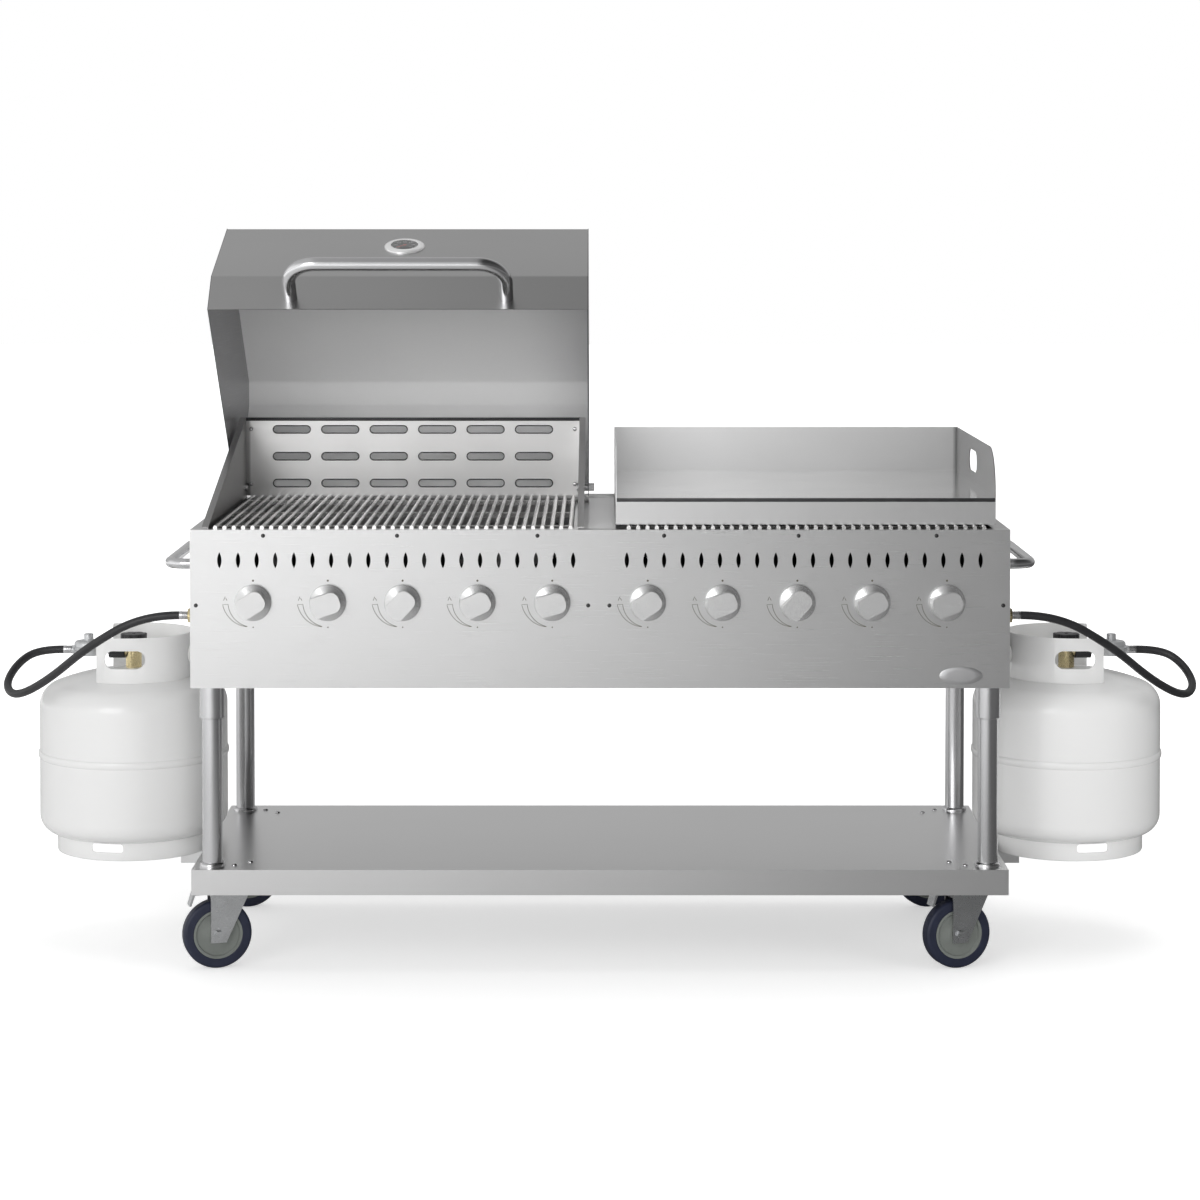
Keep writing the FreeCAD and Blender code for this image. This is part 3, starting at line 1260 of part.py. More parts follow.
def propane(side):
    """One cylinder with its foot ring, slotted collar, valve and regulator; returns them in that order."""
    sign = SIDES[side]
    x = f"{sign} * tank_x"
    vessel = put(turned_body(f"{side}_tank_outside", tank_section), x, TANK_Y)
    hollow = put(turned_body(f"{side}_tank_inside", tank_hollow), x, TANK_Y)
    shell = cut(f"{side}_tank", vessel, [hollow])

    arm_top = STIFFENER_LOW
    ring_start = (x, TANK_Y, arm_top)
    ring_height = f"tank_bottom - {arm_top} + tank_knuckle_bottom"
    ring_outside = rod(f"{side}_ring_outside", "ring_radius", ring_start, ring_height, "z")
    ring_inside = rod(f"{side}_ring_inside", "ring_radius - ring_wall", ring_start, ring_height, "z")
    slot_middle = f"({x} + {sign} * ring_slot_shift)"
    slot_x = (f"{slot_middle} - ring_slot_length / 2", f"{slot_middle} + ring_slot_length / 2")
    slot_y = (f"{TANK_Y} - 2 * ring_radius", f"{TANK_Y} + 2 * ring_radius")
    slot_z = ("ring_slot_z - ring_slot_width / 2", "ring_slot_z + ring_slot_width / 2")
    ring_slot = block(f"{side}_ring_slot", slot_x, slot_y, slot_z)
    ring = cut(f"{side}_foot_ring", ring_outside, [ring_inside, vessel, ring_slot])

    collar_low = "(tank_top - tank_knuckle_top)"
    collar_start = (x, TANK_Y, collar_low)
    collar_height = f"collar_top - {collar_low}"
    collar_bore = "collar_radius - collar_wall"
    collar_outside = rod(f"{side}_collar_outside", "collar_radius", collar_start, collar_height, "z")
    collar_inside = rod(f"{side}_collar_inside", collar_bore, collar_start, collar_height, "z")
    mouth_near, mouth_far = f"{x} + {sign} * collar_mouth", f"{x} + {sign} * 2 * collar_radius"
    mouth_x = (mouth_near, mouth_far) if sign > 0 else (mouth_far, mouth_near)
    mouth_y = (f"{TANK_Y} - 2 * collar_radius", f"{TANK_Y} + 2 * collar_radius")
    mouth = block(f"{side}_collar_mouth", mouth_x, mouth_y, (collar_low, "collar_top + collar_wall"))
    front_hole = new_body(f"{side}_front_hand_hole")
    front_sketch = sketch_on(front_hole, f"{side}_front_hand_outline", "xz")
    slot(front_sketch, "0", "hand_hole_z", "hand_hole_length", "hand_hole_width")
    pad(front_hole, front_sketch, "collar_radius")
    put(front_hole, x, f"{TANK_Y} - 2 * collar_radius + hand_hole_width")
    inner_hole = new_body(f"{side}_inner_hand_hole")
    inner_sketch = sketch_on(inner_hole, f"{side}_inner_hand_outline", "yz")
    slot(inner_sketch, "0", "hand_hole_z", "hand_hole_length", "hand_hole_width")
    pad(inner_hole, inner_sketch, "collar_radius")
    inner_start = f"{x} + hand_hole_width" if sign < 0 else f"{x} - hand_hole_width - collar_radius"
    put(inner_hole, inner_start, TANK_Y)
    collar = cut(f"{side}_collar", collar_outside, [collar_inside, vessel, mouth, front_hole, inner_hole])

    def along(name, piece_radius, start, end, z="gas_z"):
        near, far = f"{x} + {sign} * {start}", f"{x} + {sign} * {end}"
        low_x, high_x = (near, far) if sign > 0 else (far, near)
        return rod(f"{side}_{name}", piece_radius, (low_x, TANK_Y, z), f"{high_x} - ({low_x})", "x")

    def upright(name, piece_radius, low, high):
        return rod(f"{side}_{name}", piece_radius, (x, TANK_Y, low), f"{high} - {low}", "z")

    neck = upright("valve_neck", "valve_neck_radius", collar_low, "gas_z")
    chest = upright("valve_chest", "valve_body_radius", "gas_z", "valve_body_top")
    stem_top = "valve_body_top + valve_stem + handwheel_gap"
    spindle = upright("valve_spindle", "valve_stem_radius", "valve_body_top", stem_top)
    branch = along("valve_branch", "valve_body_radius", "0", "nut_start")
    brass = fuse(f"{side}_valve_solid", [neck, chest, spindle, branch])
    valve = cut(f"{side}_valve", brass, [vessel])

    nut = along("connector_nut", "nut_radius", "nut_start", "nut_end")
    pipe = along("regulator_neck", "regulator_neck_radius", "nut_end", "(regulator_x + regulator_radius + 1)")
    bowl_start = (f"{x} + {sign} * regulator_x", TANK_Y, "regulator_low")
    bowl_height = "regulator_high - regulator_low"
    bowl = rod(f"{side}_regulator_bowl", "regulator_radius", bowl_start, bowl_height, "z")
    stub_start = (f"{x} + {sign} * regulator_x", TANK_Y, "regulator_high")
    stub = rod(f"{side}_regulator_stub", "regulator_stub_radius", stub_start, "regulator_stub", "z")
    regulator = fuse(f"{side}_regulator", [nut, pipe, bowl, stub])

    wheel = rod(f"{side}_wheel_disc", "handwheel_radius", (x, TANK_Y, "valve_body_top + handwheel_gap"),
                "handwheel_height", "z")
    bore = rod(f"{side}_wheel_bore", "valve_stem_radius + running_gap", (x, TANK_Y, "valve_body_top"),
               "valve_stem + 2 * handwheel_gap", "z")
    node(f"{side}_handwheel", cut(f"{side}_handwheel", wheel, [bore]))
    return shell, ring, collar, valve, regulator


def gas_line():
    """Brass inlet nuts on the panel's ends and the crimped ferrules at both ends of each hose."""
    nuts, ferrules = [], []
    for side, sign in SIDES.items():
        near = HALF_WIDTH if sign > 0 else f"-{HALF_WIDTH} - inlet_nut"
        nut_at = (near, MANIFOLD_Y, MANIFOLD_Z)
        nuts.append(hex_rod(f"{side}_inlet_hex", "inlet_nut_radius", nut_at, "inlet_nut", "x"))
        ferrule_x = f"{HALF_WIDTH} + inlet_nut" if sign > 0 else f"-{HALF_WIDTH} - inlet_nut - ferrule_length"
        start = (ferrule_x, MANIFOLD_Y, MANIFOLD_Z)
        ferrules.append(rod(f"{side}_inlet_ferrule", "hose_radius", start, "ferrule_length", "x"))
        outlet = "(tank_x + regulator_x + regulator_radius + 1)"
        outlet_x = outlet if sign > 0 else f"-{outlet} - ferrule_length"
        ferrules.append(rod(f"{side}_outlet_ferrule", "hose_radius", (outlet_x, TANK_Y, "gas_z"),
                            "ferrule_length", "x"))
    node("inlet_nuts", group("inlet_nuts", nuts))
    node("hose_ferrules", group("hose_ferrules", ferrules))


def hose(side):
    """A rubber hose along straight runs joined by tangent arcs."""
    sign, radius = SIDES[side], number("hose_radius")
    points = [Vector(sign * x, number("front_y") + y, z) for x, y, z in HOSE_ROUTE]
    edges, radii, length = [], [], 0.0
    start = points[0]
    for before, corner, after in zip(points, points[1:], points[2:]):
        into, out = corner - before, after - corner
        reach = ARC_SHARE * min(into.Length, out.Length)
        turn = into.getAngle(out)
        bend = reach / math.tan(turn / 2)
        into.normalize()
        out.normalize()
        arc_start, arc_end = corner - into * reach, corner + out * reach
        inward = (out - into).normalize()
        middle = corner + inward * (bend / math.cos(turn / 2) - bend)
        edges.append(Part.LineSegment(start, arc_start).toShape())
        edges.append(Part.Arc(arc_start, middle, arc_end).toShape())
        radii.append(round(bend))
        start = arc_end
    edges.append(Part.LineSegment(start, points[-1]).toShape())
    path = Part.Wire(edges)
    rim = []
    for step in range(HOSE_SIDES):
        angle = 2 * math.pi * step / HOSE_SIDES
        rim.append(points[0] + Vector(0, math.cos(angle), math.sin(angle)) * radius)
    section = Part.makePolygon(rim + rim[:1])
    solid = path.makePipeShell([section], True, False)
    full = Part.Face(section).Area * path.Length
    print(f"{side} hose: length {path.Length:.1f}, bend radii {radii}, "
          f"volume {solid.Volume / full:.4f} of section times length")
    tube = doc.addObject("Part::Feature", f"{side}_hose")
    tube.Shape = solid
    node(f"{side}_hose", tube)


def gas_supply():
    """Both propane cylinders with their hoses."""
    pieces = [propane(side) for side in SIDES]
    labels = ("tank_shells", "tank_foot_rings", "tank_collars", "tank_valves", "regulators")
    for label, pair in zip(labels, zip(*pieces)):
        node(label, group(label, list(pair)))
    gas_line()
    for side in SIDES:
        hose(side)


# Knobs


def knob(index):
    """A round skirt with a broad grip that has one rounded nose, bored for the valve stem."""
    name = f"knob_{index + 1}"
    back, skirt = "-knob_gap", "-knob_skirt"
    disc = rod(f"{name}_skirt", "knob_radius", ("0", skirt, "0"), f"{back} - ({skirt})", "y")
    grip_body = new_body(f"{name}_grip")
    outline = sketch_on(grip_body, f"{name}_grip_outline", "xz")
    tail, side = "-2 * knob_radius", "grip_width / 2"
    polygon(outline, [(tail, f"-{side}"), ("grip_nose", f"-{side}"), ("grip_nose", side), (tail, side)])
    reach = "knob_reach - knob_skirt"
    grip = pad(grip_body, outline, reach)
    round_edges(grip_body, grip, f"{name}_nose", "grip_nose_radius",
                lambda edge: abs(edge.BoundBox.Center.x - number("grip_nose")) < 0.01
                and edge.BoundBox.YLength > 1)
    put(grip_body, y="-knob_reach")
    drum = rod(f"{name}_drum", "knob_radius", ("0", "-knob_reach", "0"), reach, "y")
    handle = common(f"{name}_handle", grip_body, drum)
    solid = fuse(f"{name}_solid", [disc, handle])
    bore_start = ("0", "-knob_reach + knob_cap - running_gap", "0")
    bore = rod(f"{name}_bore", "stem_radius + running_gap", bore_start, "knob_reach", "y")
    turned = group(name, [cut(f"{name}_bored", solid, [bore])])
    lean = KNOB_TURNS[index]
    upright = put(turned, burner_x(index), "front_y", KNOB_Z)
    upright.Placement = Placement(Vector(), Rotation(-AXES["y"], lean))
    node(name, put(upright, burner_x(index), "front_y", KNOB_Z))


def build():
    """Every sub-part of the grill."""
    front_panel()
    rear_panel()
    for side in SIDES:
        end_panel(side)
        grate(side)
    centre_bridge()
    manifold()
    gas_valves()
    burners()
    drip_trays()
    wind_guard()
    hinge_bolts()
    lid()
    griddle()
    side_handles()
    legs()
    shelf()
    tank_arms()
    plates = [caster(end, side) for end in ("front", "rear") for side in SIDES]
    node("caster_plates", group("caster_plates", plates))
    gas_supply()
    for index in range(BURNER_COUNT):
        knob(index)


def check():
    """Stop if any object failed, any cut removed nothing or any sub-part isn't sound."""
    for item in doc.Objects:
        if "Invalid" in item.State or "Error" in item.State:
            raise RuntimeError(f"{item.Name} failed: {item.State}")
        if item.TypeId == "PartDesign::Pocket" and item.Shape.Volume > item.BaseFeature.Shape.Volume - 1:
            raise RuntimeError(f"{item.Name} cuts nothing")
    for item in nodes:
        if item.Shape.isNull() or not item.Shape.isValid() or not item.Shape.Solids:
            raise RuntimeError(f"{item.Label} has no sound solid")


build()
doc.recompute()
check()
os.makedirs("parts", exist_ok=True)
for item in nodes:
    item.Shape.exportStep(f"parts/{item.Label}.step")
print(f"{len(nodes)} sub-parts, {sum(len(item.Shape.Solids) for item in nodes)} solids")
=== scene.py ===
"""Gas grill on a cart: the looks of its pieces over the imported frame.

Metres, with +X to the cook's right, +Y to the back, +Z up and the floor at Z = 0. Sizes named y count from
the front panel's face. A profile that a piece is turned from holds the radius and the height of each ring.
"""

from __future__ import annotations

import logging
import math
from collections.abc import Iterable, Iterator, Sequence
from dataclasses import dataclass, field
from enum import Enum
from typing import Any

import bpy
from mathutils import Matrix, Vector

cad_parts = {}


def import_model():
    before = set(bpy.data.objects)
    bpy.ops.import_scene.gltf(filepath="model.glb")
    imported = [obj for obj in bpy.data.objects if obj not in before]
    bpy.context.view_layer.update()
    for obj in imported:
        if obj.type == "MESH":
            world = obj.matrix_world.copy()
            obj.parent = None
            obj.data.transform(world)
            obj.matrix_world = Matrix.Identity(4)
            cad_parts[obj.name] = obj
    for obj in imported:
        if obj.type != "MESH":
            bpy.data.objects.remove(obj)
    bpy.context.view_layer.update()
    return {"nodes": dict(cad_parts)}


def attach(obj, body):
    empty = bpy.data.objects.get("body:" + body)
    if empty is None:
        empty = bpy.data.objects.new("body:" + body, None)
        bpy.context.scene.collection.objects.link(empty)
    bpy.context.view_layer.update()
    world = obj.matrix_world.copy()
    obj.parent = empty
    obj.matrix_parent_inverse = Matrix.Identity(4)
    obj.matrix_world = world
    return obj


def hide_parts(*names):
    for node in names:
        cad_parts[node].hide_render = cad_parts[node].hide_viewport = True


LOG = logging.getLogger("gas_grill")

Piece = bpy.types.Object
Tree = bpy.types.NodeTree
Node = bpy.types.Node
Socket = bpy.types.NodeSocket
Pair = tuple[float, float]
Point = tuple[float, float, float]

FRONT_Y = -0.4278
ENDS = ("front", "rear")
ROOT = "stand"

WELD = 1e-6
MICRON = 1e-6
BEZIER_ROUND = 0.5523

# How many sides small, middling and large rounds have
FINE, ROUND, WIDE = 24, 64, 128

WHITE = (1.0, 1.0, 1.0, 1.0)
NOISE_DETAIL = 5.0
NOISE_RANGE = (0.3, 0.7)


class Side(Enum):
    """The two ends of the grill, as the sign of their X."""

    LEFT = -1
    RIGHT = 1

    @property
    def word(self) -> str:
        """The side's name in node names."""
        return self.name.lower()


class Axis(Enum):
    """An axis, as a unit vector."""

    X = (1.0, 0.0, 0.0)
    Y = (0.0, 1.0, 0.0)
    Z = (0.0, 0.0, 1.0)


class Use(Enum):
    """What a tool does to the piece that it is worked into."""

    CUT = "DIFFERENCE"
    SHARE = "INTERSECT"
    ADD = "UNION"


# Bench work


def only(piece: Piece | None) -> None:
    """Leave edit mode and select one piece, or none.

    Args:
        piece: The piece to select.
    """
    if bpy.context.object and bpy.context.object.mode != "OBJECT":
        bpy.ops.object.mode_set(mode="OBJECT")
    bpy.ops.object.select_all(action="DESELECT")
    if piece:
        piece.select_set(True)
        bpy.context.view_layer.objects.active = piece


def settle(piece: Piece, place: Matrix | None = None) -> Piece:
    """Move a piece and put its place into its mesh.

    Args:
        piece: The piece to move.
        place: Where it goes, or None to keep its place.

    Returns:
        The same piece, with its object at the origin.
    """
    only(piece)
    if place is not None:
        piece.matrix_world = place @ piece.matrix_world
    bpy.ops.object.transform_apply(location=True, rotation=True, scale=True)
    return piece


def named(piece: Piece, name: str) -> Piece:
    """Name a piece and its data."""
    piece.name = piece.data.name = name
    return piece


def discard(piece: Piece) -> None:
    """Throw a piece away."""
    bpy.data.objects.remove(piece, do_unlink=True)


def shift(x: float, y: float, z: float) -> Matrix:
    """A move."""
    return Matrix.Translation((x, y, z))


def turn(degrees: float, axis: Axis) -> Matrix:
    """A turn about one of the axes through the origin."""
    return Matrix.Rotation(math.radians(degrees), 4, axis.name)


def from_front(point: Point) -> Point:
    """A point whose Y counts from the front panel's face, in the grill's frame."""
    return (point[0], FRONT_Y + point[1], point[2])


def corners(ys: Sequence[float]) -> Iterator[tuple[str, Side, float]]:
    """The name, the side and the Y of the cart's four corners.

    Args:
        ys: Y of the front and the rear ones.

    Yields:
        Each corner, the front ones first.
    """
    for end, y in zip(ENDS, ys):
        for side in Side:
            yield f"{end}_{side.word}", side, FRONT_Y + y


def arc(middle: Pair, size: Pair, start: float, end: float, steps: int) -> list[Pair]:
    """Points along an arc.

    Args:
        middle: Its middle.
        size: Its half width and half height.
        start: Its first angle in degrees, from the first axis towards the second.
        end: Its last angle.
        steps: How many steps it has.

    Returns:
        Its points, one more than its steps.
    """
    angles = [math.radians(start + (end - start) * step / steps) for step in range(steps + 1)]
    return [(middle[0] + size[0] * math.cos(a), middle[1] + size[1] * math.sin(a)) for a in angles]


def around(radius: float, count: int, first: float = 0.0) -> list[Pair]:
    """Points evenly round a circle, with the first one a share of a step on."""
    angles = [math.tau * (step + first) / count for step in range(count)]
    return [(radius * math.cos(a), radius * math.sin(a)) for a in angles]


def modified(piece: Piece, kind: str, **settings: Any) -> Piece:
    """Work a modifier into a piece's mesh.

    Args:
        piece: The piece.
        kind: The modifier's type.
        settings: The modifier's own settings.

    Returns:
        The same piece.
    """
    only(piece)
    modifier = piece.modifiers.new(kind.lower(), kind)
    for key, value in settings.items():
        setattr(modifier, key, value)
    bpy.ops.object.modifier_apply(modifier=modifier.name)
    return piece


def rounded(piece: Piece, width: float, segments: int = 3, angle: float = 35.0) -> Piece:
    """Round a piece's edges that are sharper than an angle in degrees."""
    limit = math.radians(angle)
    return modified(piece, "BEVEL", width=width, segments=segments, limit_method="ANGLE", angle_limit=limit)


def even(piece: Piece) -> Piece:
    """Let a smooth piece's large flat faces shade flat between their rounded edges."""
    return modified(piece, "WEIGHTED_NORMAL", keep_sharp=True)


def smooth(piece: Piece, angle: float = 38.0) -> Piece:
    """Shade a piece smooth.

    Args:
        piece: The piece.
        angle: Edges past it, in degrees, stay sharp.

    Returns:
        The same piece.
    """
    only(piece)
    bpy.ops.object.shade_smooth_by_angle(angle=math.radians(angle))
    return piece


def carve(piece: Piece, tools: Iterable[Piece], use: Use = Use.CUT) -> Piece:
    """Work tools into a piece, one by one, and throw them away.

    Args:
        piece: The piece.
        tools: The tools, in place.
        use: What each tool does to the piece.

    Returns:
        The same piece.
    """
    for tool in tools:
        modified(piece, "BOOLEAN", operation=use.value, solver="EXACT", object=tool)
        discard(tool)
    return piece


def slab(name: str, low: Point, high: Point) -> Piece:
    """A block.

    Args:
        name: The piece's name.
        low: Its corner with the least X, Y and Z.
        high: The corner across from it.

    Returns:
        The new piece.
    """
    only(None)
    bpy.ops.mesh.primitive_cube_add(size=1, location=(Vector(low) + Vector(high)) / 2)
    piece = named(bpy.context.object, name)
    piece.scale = Vector(high) - Vector(low)
    return settle(piece)


def drum(name: str, radius: float, start: Point, end: Point, sides: int = FINE) -> Piece:
    """A round or many-sided bar.

    Args:
        name: The piece's name.
        radius: Its radius.
        start: Middle of its first end.
        end: Middle of its other end.
        sides: How many sides it has.

    Returns:
        The new piece.
    """
    only(None)
    run = Vector(end) - Vector(start)
    bpy.ops.mesh.primitive_cylinder_add(vertices=sides, radius=radius, depth=run.length)
    piece = named(bpy.context.object, name)
    lean = Vector(Axis.Z.value).rotation_difference(run).to_matrix().to_4x4()
    return settle(piece, Matrix.Translation((Vector(start) + Vector(end)) / 2) @ lean)


def turned(name: str, profile: Sequence[Pair], sides: int = ROUND) -> Piece:
    """Turn a profile about the upright axis through the origin, ring by ring.

    Args:
        name: The piece's name.
        profile: Radius and height of each ring. A profile that ends where it starts makes a ring-shaped
            piece, and any other is closed by flat ends.
        sides: How many sides the round has.

    Returns:
        The new piece.
    """
    only(None)
    radius, height = profile[0]
    bpy.ops.mesh.primitive_circle_add(vertices=sides, radius=radius, location=(0, 0, height))
    piece = settle(named(bpy.context.object, name))
    bpy.ops.object.mode_set(mode="EDIT")
    bpy.ops.mesh.select_all(action="SELECT")
    for (last_radius, last_height), (radius, height) in zip(profile, profile[1:]):
        bpy.ops.mesh.extrude_edges_move(TRANSFORM_OT_translate={"value": (0, 0, height - last_height)})
        grow = radius / last_radius
        bpy.ops.transform.resize(value=(grow, grow, 1), center_override=(0, 0, height))
    bpy.ops.mesh.select_all(action="SELECT")
    bpy.ops.mesh.remove_doubles(threshold=WELD)
    bpy.ops.mesh.select_all(action="SELECT")
    bpy.ops.mesh.fill_holes(sides=0)
    bpy.ops.mesh.select_all(action="SELECT")
    bpy.ops.mesh.normals_make_consistent(inside=False)
    bpy.ops.object.mode_set(mode="OBJECT")
    return smooth(piece)


def curved(name: str, kind: str, count: int, **settings: Any) -> tuple[Piece, bpy.types.Spline]:
    """A new curve object with one spline.

    Args:
        name: Its name.
        kind: The spline's type.
        count: How many points the spline has.
        settings: The curve's own settings.

    Returns:
        The object and its spline, whose points are still to be placed.
    """
    only(None)
    curve = bpy.data.curves.new(name, "CURVE")
    for key, value in {"dimensions": "3D", **settings}.items():
        setattr(curve, key, value)
    spline = curve.splines.new(kind)
    points = spline.bezier_points if kind == "BEZIER" else spline.points
    points.add(count - 1)
    piece = bpy.data.objects.new(name, curve)
    bpy.context.scene.collection.objects.link(piece)
    return piece, spline


def as_mesh(piece: Piece, name: str) -> Piece:
    """Turn a curve or a text into a mesh.

    Args:
        piece: The curve or text.
        name: The mesh's name.

    Returns:
        The piece as a mesh.
    """
    only(piece)
    bpy.ops.object.convert(target="MESH")
    return named(bpy.context.object, name)


def bow(name: str, feet: Sequence[Vector], out: Vector, bend: float, radius: float) -> Piece:
    """A U-shaped handle of tube with closed ends.

    Args:
        name: The piece's name.
        feet: Where its two arms start.
        out: How far the grip stands out from the feet.
        bend: The radius of its two bends.
        radius: The tube's radius.

    Returns:
        The new piece.
    """
    along, reach = (feet[1] - feet[0]).normalized(), out.normalized()
    pull = BEZIER_ROUND * bend
    halves = []
    for foot, inward in zip(feet, (along, -along)):
        arm_end = foot + out - reach * bend
        grip_end = foot + out + inward * bend
        halves.append([
            (foot, foot - reach * bend, foot + (arm_end - foot) / 3),
            (arm_end, arm_end - (arm_end - foot) / 3, arm_end + reach * pull),
            (grip_end, grip_end - inward * pull, grip_end + inward * bend),
        ])
    knots = halves[0] + [(point, after, before) for point, before, after in reversed(halves[1])]
    piece, spline = curved(name, "BEZIER", len(knots), bevel_depth=radius, bevel_resolution=8,
                           resolution_u=16, use_fill_caps=True)
    for knot, place in zip(spline.bezier_points, knots):
        knot.co, knot.handle_left, knot.handle_right = place
    return smooth(as_mesh(piece, name))


def line(name: str, points: Sequence[Sequence[float]], radius: float, closed: bool = False) -> Piece:
    """A fine raised line through points.

    Args:
        name: The piece's name.
        points: The points.
        radius: Half the line's thickness.
        closed: Whether it ends where it starts.

    Returns:
        The new piece.
    """
    piece, spline = curved(name, "POLY", len(points), bevel_depth=radius, bevel_resolution=1)
    spline.use_cyclic_u = closed
    for knot, point in zip(spline.points, points):
        knot.co = (*point, 1.0)
    return as_mesh(piece, name)


def copied(piece: Piece, name: str, place: Matrix) -> Piece:
    """Copy a piece, with a mesh of its own.

    Args:
        piece: The pattern.
        name: The copy's name.
        place: Where the copy goes.

    Returns:
        The copy.
    """
    twin = piece.copy()
    twin.data = piece.data.copy()
    bpy.context.scene.collection.objects.link(twin)
    return settle(named(twin, name), place)


def joined(name: str, pieces: Sequence[Piece]) -> Piece:
    """Make one piece of several.

    Args:
        name: The new piece's name.
        pieces: The pieces.

    Returns:
        The new piece.
    """
    only(pieces[0])
    for piece in pieces:
        piece.select_set(True)
    bpy.ops.object.join()
    return named(bpy.context.object, name)


def scattered(name: str, pattern: Piece, places: Iterable[Matrix]) -> Piece:
    """Make one piece of copies of a pattern, and throw the pattern away.

    Args:
        name: The new piece's name.
        pattern: The pattern, at the origin.
        places: Where the copies go.

    Returns:
        The new piece.
    """
    copies = [copied(pattern, f"{name}_{index}", place) for index, place in enumerate(places)]
    discard(pattern)
    return joined(name, copies)


# Shader nodes


def feed(tree: Tree, made: Node, feeds: dict[str | int, Any]) -> Node:
    """Link or set a node's inputs.

    Args:
        tree: The node tree.
        made: The node.
        feeds: For each input, the socket that it is linked to or the value that it gets.

    Returns:
        The same node.
    """
    for key, value in feeds.items():
        if isinstance(value, Socket):
            tree.links.new(value, made.inputs[key])
        else:
            made.inputs[key].default_value = value
    return made


def node(tree: Tree, kind: str, feeds: dict[str | int, Any] | None = None, **settings: Any) -> Node:
    """Add a shader node.

    Args:
        tree: The node tree.
        kind: The node's type, without its prefix.
        feeds: What its inputs get.
        settings: The node's own settings.

    Returns:
        The new node.
    """
    made = tree.nodes.new(f"ShaderNode{kind}")
    for key, value in settings.items():
        setattr(made, key, value)
    return feed(tree, made, feeds or {})


def product(tree: Tree, one: Socket, other: Socket) -> Socket:
    """The socket with two values multiplied."""
    return node(tree, "Math", {0: one, 1: other}, operation="MULTIPLY").outputs["Value"]


def mixed(tree: Tree, share: Socket, base: Socket | float, other: Socket | float) -> Socket:
    """The socket with a value that goes over to another as a share goes from 0 to 1."""
    return node(tree, "Mix", {0: share, 2: base, 3: other}, data_type="FLOAT").outputs[0]


class Slope(Enum):
    """How a step goes from one value to the other."""

    SOFT = "SMOOTHSTEP"
    STRAIGHT = "LINEAR"


@dataclass(frozen=True)
class Ramp:
    """A step between two values.

    Attributes:
        reach: Where it starts and ends.
        result: The values before and after it.
        slope: How it goes from one to the other.
    """

    reach: Pair
    result: Pair
    slope: Slope = Slope.SOFT

    def along(self, tree: Tree, value: Socket) -> Socket:
        """The step's result.

        Args:
            tree: The node tree.
            value: The socket that drives it.

        Returns:
            The socket with the result.
        """
        (start, end), (before, after) = self.reach, self.result
        feeds = {"Value": value, "From Min": start, "From Max": end, "To Min": before, "To Max": after}
        return node(tree, "MapRange", feeds, interpolation_type=self.slope.value).outputs["Result"]


def mottle() -> Tree:
    """Soft uneven patches between a low and a high value, with the raw noise as a height.

    Returns:
        The node group, built once.
    """
    found = bpy.data.node_groups.get("mottle")
    if found:
        return found
    tree = bpy.data.node_groups.new("mottle", "ShaderNodeTree")
    tree.interface.new_socket("Vector", in_out="INPUT", socket_type="NodeSocketVector")
    for name in ("Scale", "Low", "High"):
        tree.interface.new_socket(name, in_out="INPUT", socket_type="NodeSocketFloat")
    for name in ("Value", "Height"):
        tree.interface.new_socket(name, in_out="OUTPUT", socket_type="NodeSocketFloat")
    given = tree.nodes.new("NodeGroupInput").outputs
    feeds = {"Vector": given["Vector"], "Scale": given["Scale"], "Detail": NOISE_DETAIL}
    noise = node(tree, "TexNoise", feeds).outputs["Fac"]
    feeds = {"Value": noise, "From Min": NOISE_RANGE[0], "From Max": NOISE_RANGE[1],
             "To Min": given["Low"], "To Max": given["High"]}
    spread = node(tree, "MapRange", feeds).outputs["Result"]
    feed(tree, tree.nodes.new("NodeGroupOutput"), {"Value": spread, "Height": noise})
    return tree


# Finishes


